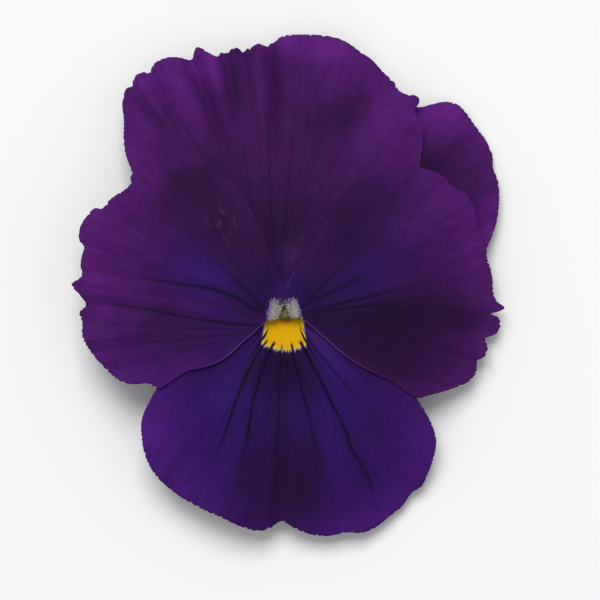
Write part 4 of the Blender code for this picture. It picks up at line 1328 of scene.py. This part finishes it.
def beard(name, side, seed, finish):
    """A pad of short hairs on the throat edge. Side is -1 for the left petal and 1 for the right one."""
    luck = np.random.default_rng(seed)
    routes, run, shade, violet = [], [], [], []
    along_hair = np.linspace(0, 1, HAIR_RINGS)
    for _ in range(HAIRS):
        down = luck.uniform(0, 1)
        inner = PAD_INNER[0] + PAD_INNER[1] * down
        outer = PAD_OUTER[0] + PAD_OUTER[1] * down**0.5
        outside = luck.uniform(0, 1)
        across = inner + (outer - inner) * outside
        foot = PAD_TOP + np.array((side * across, -(PAD_LENGTH[0] - PAD_LENGTH[1] * side) * down))
        angle = luck.normal(0, HAIR_SPREAD) - HAIR_TURN * (1 - down)
        lean = np.array((-side * math.cos(angle), -math.sin(angle)))
        length = luck.uniform(*HAIR_LENGTH)
        tip = foot + lean * length * HAIR_LEAN
        base = PAD_HEIGHT[0] + PAD_HEIGHT[1] * outside
        top = min(base + length * HAIR_RISE, BEARD_TOP)
        middle = (*(foot * 0.6 + tip * 0.4), (base + top) / 2 + HAIR_ARCH)
        path = along(((*foot, base), middle, (*tip, top)), HAIR_RINGS)
        radius = smooth_curve(HAIR_THICKNESS, along_hair) * luck.uniform(*HAIR_SCALES)
        routes.append(np.column_stack([path, radius]))
        run.append(np.repeat(along_hair, HAIR_SIDES))
        shade.append(np.full(HAIR_RINGS * HAIR_SIDES, luck.uniform()))
        fringe = max(ramp(FRINGE_FROM, 1.0, outside), ramp(FRINGE_TOP, 0.0, down))
        violet.append(np.full(HAIR_RINGS * HAIR_SIDES, fringe * luck.uniform(*FRINGE_STRENGTHS)))
    piece = join_tubes(name, routes, HAIR_SIDES, finish, {"run": run, "shade": shade, "violet": violet})
    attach(piece, "root")
    return piece


hair = hair_finish()
for name, side, seed in (("beard_left", -1, 11), ("beard_right", 1, 12)):
    piece = beard(name, side, seed, hair)
    print(name, "hairs:", HAIRS, "triangles:", sum(len(face.vertices) - 2 for face in piece.data.polygons))

# %% [markdown]
# ## Stigma and stamens
#
# The pistil is a small green ovary, a thin bent style and a round head, the stigma, which is hollow
# like a tiny pot and turns its opening to the lip. The stamens stand round the ovary. Each anther is a
# pair of pale pollen sacs with an orange flap at its tip, and the two lower ones send a nectar tail down
# the spur. All of them are tubes whose width changes along the way.

# %% Pistil
RECEPTACLE = (-0.35, -1.5)
RECEPTACLE_TOP = 6.2
SEAT_GAP = 0.3
PISTIL_RINGS = 72
PISTIL_SIDES = 28
# Pistil: how far towards the lip, height and radius, from its foot into the hollow of the stigma.
PISTIL_BEND = (
    (0.0, RECEPTACLE_TOP + SEAT_GAP, 0.35), (0.0, 6.8, 0.48), (0.0, 7.2, 0.42), (0.0, 7.6, 0.22),
    (0.3, 8.0, 0.22), (0.8, 8.4, 0.32), (1.3, 8.65, 0.5), (1.85, 8.85, 0.74), (2.4, 9.05, 0.96),
    (2.8, 9.15, 1.04), (3.02, 9.15, 0.86), (3.08, 9.15, 0.55), (2.9, 9.1, 0.3), (2.6, 9.05, 0.2),
)


def tube_piece(name, route, count, sides, material, profile=None):
    """A tube of so many rings and sides along a smooth route of (x, y, z, radius), as one closed piece."""
    points = rings(along(route, count), sides, profile).reshape(-1, 3)
    run = np.repeat(np.linspace(0, 1, count), sides)
    turn = np.tile(np.linspace(0, 1, sides, endpoint=False), count)
    return mesh_object(name, points, tube_faces(count, sides), (material,), {"run": run, "turn": turn})


def stigma_finish():
    bench = Bench("stigma_skin")
    run = bench.stored("run")
    grain = bench.noise(0.22, 3.0)
    colour = bench.mix((0.06, 0.07, 0.02), (0.085, 0.08, 0.018), bench.step(0.45, 0.8, run + 0.25 * grain))
    colour = bench.mix(colour, (0.04, 0.045, 0.015), bench.step(0.94, 0.99, run))
    return bench.finish(
        Base_Color=colour, Roughness=0.42 + 0.2 * grain, Normal=bench.relief(grain, 0.06),
        Specular_IOR_Level=0.45, Subsurface_Weight=0.1, Subsurface_Scale=0.4 * MM,
    )


pistil_route = [(RECEPTACLE[0], RECEPTACLE[1] - forward, z, radius) for forward, z, radius in PISTIL_BEND]
pistil = tube_piece("stigma_and_style", pistil_route, PISTIL_RINGS, PISTIL_SIDES, stigma_finish())
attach(pistil, "root")
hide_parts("pistil")
print("pistil points:", len(pistil.data.vertices))

# %% Stamens
# Stamens: the direction from the receptacle's middle, and whether it has a nectar tail.
STAMENS = {
    "stamen_top": (90.0, False), "stamen_left": (162.0, False), "stamen_right": (18.0, False),
    "stamen_lower_left": (228.0, True), "stamen_lower_right": (312.0, True),
}
STAMEN_RING = 0.95
ANTHER_RADIUS = 0.22
ANTHER_RINGS = 36
ANTHER_SIDES = 20
# Anther: how far in from the ring, height and share of its radius.
ANTHER_STATIONS = (
    (0.05, 6.5, 0.5), (0.0, 6.65, 0.85), (0.0, 7.0, 1.05), (0.02, 7.35, 0.9), (0.05, 7.5, 0.75),
    (0.06, 7.68, 0.45), (0.07, 7.75, 0.12),
)
TAIL_RADIUS = 0.18
TAIL_RINGS = 40
TAIL_SIDES = 14
TAIL_APART = 0.38
TAIL_FOOT_Z = 7.05
TAIL_BEND = (0.7, 7.2)
# Tail: share of the distance from the spur's middle, place along y and height.
TAIL_STATIONS = ((1.0, -4.0, 7.05), (1.0, -4.7, 6.3), (0.9, -5.1, 4.9), (0.8, -5.4, 3.6))


def anther_section(turn):
    """Two pollen sacs side by side, with a groove between them."""
    return 1.0 - 0.22 * np.cos(turn) ** 8 + 0.06 * np.cos(2 * turn)


def anther_finish():
    bench = Bench("anther_skin")
    run = bench.stored("run")
    grain = bench.noise(0.12, 2.0)
    colour = bench.mix((0.62, 0.58, 0.40), (0.78, 0.70, 0.48), grain)
    colour = bench.mix(colour, (0.42, 0.17, 0.03), bench.step(0.72, 0.84, run))
    relief = bench.relief(grain, 0.03)
    return bench.finish(
        Base_Color=colour, Roughness=0.6 + 0.2 * grain, Normal=relief, Specular_IOR_Level=0.3
    )


def tail_finish():
    bench = Bench("nectar_tail_skin")
    grain = bench.noise(0.2, 2.0)
    colour = bench.mix((0.30, 0.42, 0.12), (0.42, 0.52, 0.2), grain)
    return bench.finish(Base_Color=colour, Roughness=0.4 + 0.1 * grain, Specular_IOR_Level=0.45)


def make_stamen(node, anther, tail):
    """One anther on the ring round the ovary, with its nectar tail where it has one."""
    direction, has_tail = STAMENS[node]
    out = unit(direction)
    route = [
        (*(RECEPTACLE + out * (STAMEN_RING - inward)), z, share * ANTHER_RADIUS)
        for inward, z, share in ANTHER_STATIONS
    ]
    piece = tube_piece("anther_" + node, route, ANTHER_RINGS, ANTHER_SIDES, anther, anther_section)
    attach(piece, "root")
    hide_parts(node)
    if has_tail:
        start = RECEPTACLE + out * STAMEN_RING
        apart = math.copysign(TAIL_APART, out[0])
        bend_run, bend_z = TAIL_BEND
        line = [(*start, TAIL_FOOT_Z, TAIL_RADIUS), (start[0], start[1] - bend_run, bend_z, TAIL_RADIUS)]
        line += [(SPUR_X + share * apart, y, z, TAIL_RADIUS) for share, y, z in TAIL_STATIONS]
        nectar = tube_piece("tail_" + node, line, TAIL_RINGS, TAIL_SIDES, tail)
        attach(nectar, "root")


anther_skin, tail_skin = anther_finish(), tail_finish()
for node in STAMENS:
    make_stamen(node, anther_skin, tail_skin)
print("stamens:", len(STAMENS))

# %% [markdown]
# ## Sepals and stalk
#
# Behind the petals are five narrow green sepals, each with a small lobe that points back past the place
# where it is held. They are leaves, so they get a midrib, fine side veins and a thin pale margin. The
# stalk swells into the receptacle, bends over and ends in a plain cut that shows its paler inside.

# %% Sepals
# Sepals: the direction, and how far the lobe reaches down.
SEPALS = {
    "sepal_top": (84.0, 2.2), "sepal_left": (168.0, 2.2), "sepal_right": (12.0, 2.2),
    "sepal_lower_left": (222.0, 3.4), "sepal_lower_right": (318.0, 3.4),
}
RECEPTACLE_RADIUS = 1.7
SEPAL_SLACK = 0.15
SEPAL_COLLAR = RECEPTACLE_RADIUS + SEAT_GAP + SEPAL_SLACK
SEPAL_SEAT_Z = 4.9
SEPAL_LENGTH = 13.5
SEPAL_TIP_Z = 0.6
SEPAL_THICKNESS = 0.36
SEPAL_HALF_WIDTH = 2.3
SEPAL_HALF_WIDTHS = (
    (0, 0.3), (0.06, 0.75), (0.2, 0.8), (0.3, 1.15), (0.55, SEPAL_HALF_WIDTH), (0.8, 1.5), (1, 0.12),
)
SEPAL_WAVES = (60, 0.02)
SEPAL_CUP = 0.35
SEPAL_MARGIN_LOSS = 0.55
SEPAL_ROWS = 90
SEPAL_COLUMNS = 25
MIDRIB_DEPTH = 0.12
MIDRIB_WIDTH = 0.16


def leaf_finish(name, colour, pale, rib_relief):
    """Green leaf with a midrib and side veins, which stand out where rib_relief is above 0."""
    bench = Bench(name)
    run, across = bench.stored("run"), bench.stored("across")
    cloud = bench.noise(1.6, 3.0)
    cells = bench.noise(0.18, 2.0)
    skin = bench.mix(colour, pale, 0.45 * cloud + 0.2 * cells)
    midrib = 1.0 - bench.step(0.03, 0.09, abs(across))
    slant = (run * 16.0 - abs(across) * 2.2 + 0.5 * cloud).math("FRACT")
    side_veins = (1.0 - bench.step(0.03, 0.14, abs(slant - 0.5))) * bench.step(0.05, 0.2, abs(across))
    skin = bench.mix(skin, pale, midrib * 0.7)
    skin = bench.mix(skin, pale, side_veins * 0.35)
    skin = bench.mix(skin, (0.16, 0.06, 0.12), bench.step(0.8, 1.05, run) * 0.6)
    skin = bench.mix(skin, (0.34, 0.42, 0.2), bench.step(0.88, 1.0, abs(across)))
    relief = bench.relief((midrib + side_veins * 0.5) * rib_relief + cells * 0.3, 0.06)
    return bench.finish(
        Base_Color=skin, Roughness=0.5 + 0.15 * cells, Normal=relief, Specular_IOR_Level=0.4,
        Subsurface_Weight=0.08, Subsurface_Scale=0.4 * MM,
    )


def make_sepal(node, finishes):
    """One sepal: a long strip that is bent along its path, cupped across, and creased at its midrib."""
    direction, lobe = SEPALS[node]
    path = (
        (0.75, SEPAL_SEAT_Z - lobe), (0.3, SEPAL_SEAT_Z - 0.45 * lobe), (0.0, SEPAL_SEAT_Z),
        (0.9, SEPAL_SEAT_Z + 0.65), (3.0, SEPAL_SEAT_Z + 0.3), (6.0, 3.9), (9.0, 2.2),
        (SEPAL_LENGTH - 1.5, 0.75), (SEPAL_LENGTH, SEPAL_TIP_Z),
    )
    line = along(path, SEPAL_ROWS) + (SEPAL_COLLAR, 0)
    run = np.linspace(0, 1, SEPAL_ROWS)
    waves, wave_depth = SEPAL_WAVES
    half = smooth_curve(SEPAL_HALF_WIDTHS, run) * (1 + wave_depth * np.sin(run * waves))
    out, side = unit(direction), unit(direction + 90)
    across = np.linspace(-1, 1, SEPAL_COLUMNS)
    flat = RECEPTACLE + line[:, None, :1] * out + (half[:, None] * across)[:, :, None] * side
    z = line[:, 1:] + SEPAL_CUP * half[:, None] / SEPAL_HALF_WIDTH * across**2
    rib = ramp(0.1, 0.3, run) * ramp(1.0, 0.8, run)
    z = z - MIDRIB_DEPTH * bump(0, MIDRIB_WIDTH, across) * rib[:, None]
    points = np.concatenate([flat, z[:, :, None]], 2).reshape(-1, 3)
    quads = grid_quads(SEPAL_ROWS, SEPAL_COLUMNS)
    values = {"run": run[:, None] * np.ones(SEPAL_COLUMNS), "across": np.ones((SEPAL_ROWS, 1)) * across}
    sheet = Sheet(points, quads, values)
    thin = SEPAL_THICKNESS * (1 - SEPAL_MARGIN_LOSS * np.abs(values["across"]).ravel() ** 3)
    piece = thin_piece("green_" + node, sheet, thin, finishes)
    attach(piece, "root")
    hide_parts(node)
    return piece


leaf_face = leaf_finish("sepal_face", (0.07, 0.17, 0.035), (0.20, 0.34, 0.10), -1.0)
leaf_back = leaf_finish("sepal_back", (0.12, 0.24, 0.06), (0.26, 0.40, 0.14), 1.0)
for node in SEPALS:
    piece = make_sepal(node, (leaf_face, leaf_back, leaf_back))
print("sepals:", len(SEPALS), "points each:", len(piece.data.vertices))

# %% Stalk
STALK_RADIUS = 1.0
STALK_DIRECTION = 126.0
STALK_RUN = 10.5
STALK_SIDES = 48
STALK_RINGS = 120
# Stalk: how far out, height and radius, from the top of the receptacle to the cut end.
STALK_PROFILE = (
    (0.0, RECEPTACLE_TOP, 1.2), (0.0, 6.15, RECEPTACLE_RADIUS), (0.0, 5.7, RECEPTACLE_RADIUS),
    (0.0, SEPAL_SEAT_Z, 1.55), (0.05, 4.1, 1.2), (0.25, 3.1, STALK_RADIUS), (0.9, 2.0, STALK_RADIUS),
    (2.2, 1.25, STALK_RADIUS), (4.0, 1.05, STALK_RADIUS), (7.0, 1.02, STALK_RADIUS),
    (STALK_RUN, STALK_RADIUS, 0.97),
)


def stalk_section(turn):
    """Slightly four-edged, as a pansy's stalk is."""
    return 0.985 + 0.015 * np.cos(4 * turn)


def stalk_finish():
    bench = Bench("stalk_skin")
    run, turn = bench.stored("run"), bench.stored("turn")
    cloud = bench.noise(1.2, 3.0)
    cells = bench.add("ShaderNodeCombineXYZ", {}, {0: turn * 60.0, 1: run * 30.0, 2: 0.0})
    streak = bench.noise(1.0, 2.0, cells)
    colour = bench.mix((0.15, 0.27, 0.07), (0.28, 0.42, 0.14), 0.5 * cloud + 0.5 * streak)
    colour = bench.mix(colour, (0.20, 0.08, 0.14), bench.step(0.55, 0.8, cloud) * 0.35)
    return bench.finish(
        Base_Color=colour, Roughness=0.42 + 0.15 * streak, Normal=bench.relief(streak, 0.04),
        Specular_IOR_Level=0.45, Subsurface_Weight=0.08, Subsurface_Scale=0.5 * MM,
    )


def cut_finish():
    bench = Bench("stalk_cut")
    grain = bench.noise(0.16, 3.0)
    colour = bench.mix((0.42, 0.50, 0.26), (0.62, 0.66, 0.44), grain)
    return bench.finish(Base_Color=colour, Roughness=0.35 + 0.2 * grain, Normal=bench.relief(grain, 0.05))


stalk_route = [
    (*(RECEPTACLE + run * unit(STALK_DIRECTION)), z, radius) for run, z, radius in STALK_PROFILE
]
stalk = tube_piece("cut_stalk", stalk_route, STALK_RINGS, STALK_SIDES, stalk_finish(), stalk_section)
stalk.data.materials.append(cut_finish())
stalk.data.polygons[-1].material_index = 1
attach(stalk, "root")
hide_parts("pedicel")
print("stalk points:", len(stalk.data.vertices))

# %% [markdown]
# ## Ground, light and camera
#
# The bloom lies on a plain, nearly white ground and is seen from straight above. The light is soft and
# comes from the top of the picture: a broad lamp on that side, and an even pale surround that keeps the
# shadows open. A long lens from far away keeps high and low petals at the same scale.

# %% Ground, light and camera
GROUND_SIDE = 3000.0
VIEW_WIDTH = 83.7
VIEW_CENTRE = (1.72, -2.06, 5.0)
LENS = 250.0
SENSOR = 36.0
LAMP_PLACE = (-350.0, 1700.0, 2700.0)
LAMP_SIDE = 1800.0
LAMP_POWER = 80.0
SURROUND = 0.5


def ground_finish():
    bench = Bench("pale_ground")
    grain = bench.noise(0.6, 3.0)
    colour = bench.mix((0.86, 0.86, 0.865), (0.88, 0.875, 0.885), grain)
    return bench.finish(Base_Color=colour, Roughness=0.75 + 0.1 * grain, Specular_IOR_Level=0.2)


half_side = GROUND_SIDE / 2 * MM
corners = [(x * half_side, y * half_side, 0) for x, y in ((-1, -1), (1, -1), (1, 1), (-1, 1))]
ground_mesh = bpy.data.meshes.new("ground")
ground_mesh.from_pydata(corners, [], [(0, 1, 2, 3)])
ground_mesh.materials.append(ground_finish())
ground = bpy.data.objects.new("ground", ground_mesh)
bpy.context.scene.collection.objects.link(ground)

lamp_data = bpy.data.lights.new("window", "AREA")
lamp_data.shape = "SQUARE"
lamp_data.size = LAMP_SIDE * MM
lamp_data.energy = LAMP_POWER
lamp_data.color = (1.0, 0.99, 0.97)
lamp = bpy.data.objects.new("window", lamp_data)
lamp.location = Vector(LAMP_PLACE) * MM
lamp.rotation_euler = (-lamp.location).to_track_quat("-Z", "Y").to_euler()
bpy.context.scene.collection.objects.link(lamp)

world = bpy.data.worlds.new("studio")
world.use_nodes = True
surround = world.node_tree.nodes["Background"].inputs
surround["Color"].default_value = (0.98, 0.985, 1.0, 1)
surround["Strength"].default_value = SURROUND
bpy.context.scene.world = world
bpy.context.scene.view_settings.view_transform = "Standard"

camera_data = bpy.data.cameras.new("camera")
camera_data.lens = LENS
camera_data.sensor_width = SENSOR
camera = bpy.data.objects.new("camera", camera_data)
distance = VIEW_WIDTH * MM * LENS / SENSOR
camera.location = Vector(VIEW_CENTRE) * MM + Vector((0, 0, distance))
bpy.context.scene.collection.objects.link(camera)
bpy.context.scene.camera = camera
print("camera height in mm:", round(camera.location.z / MM))
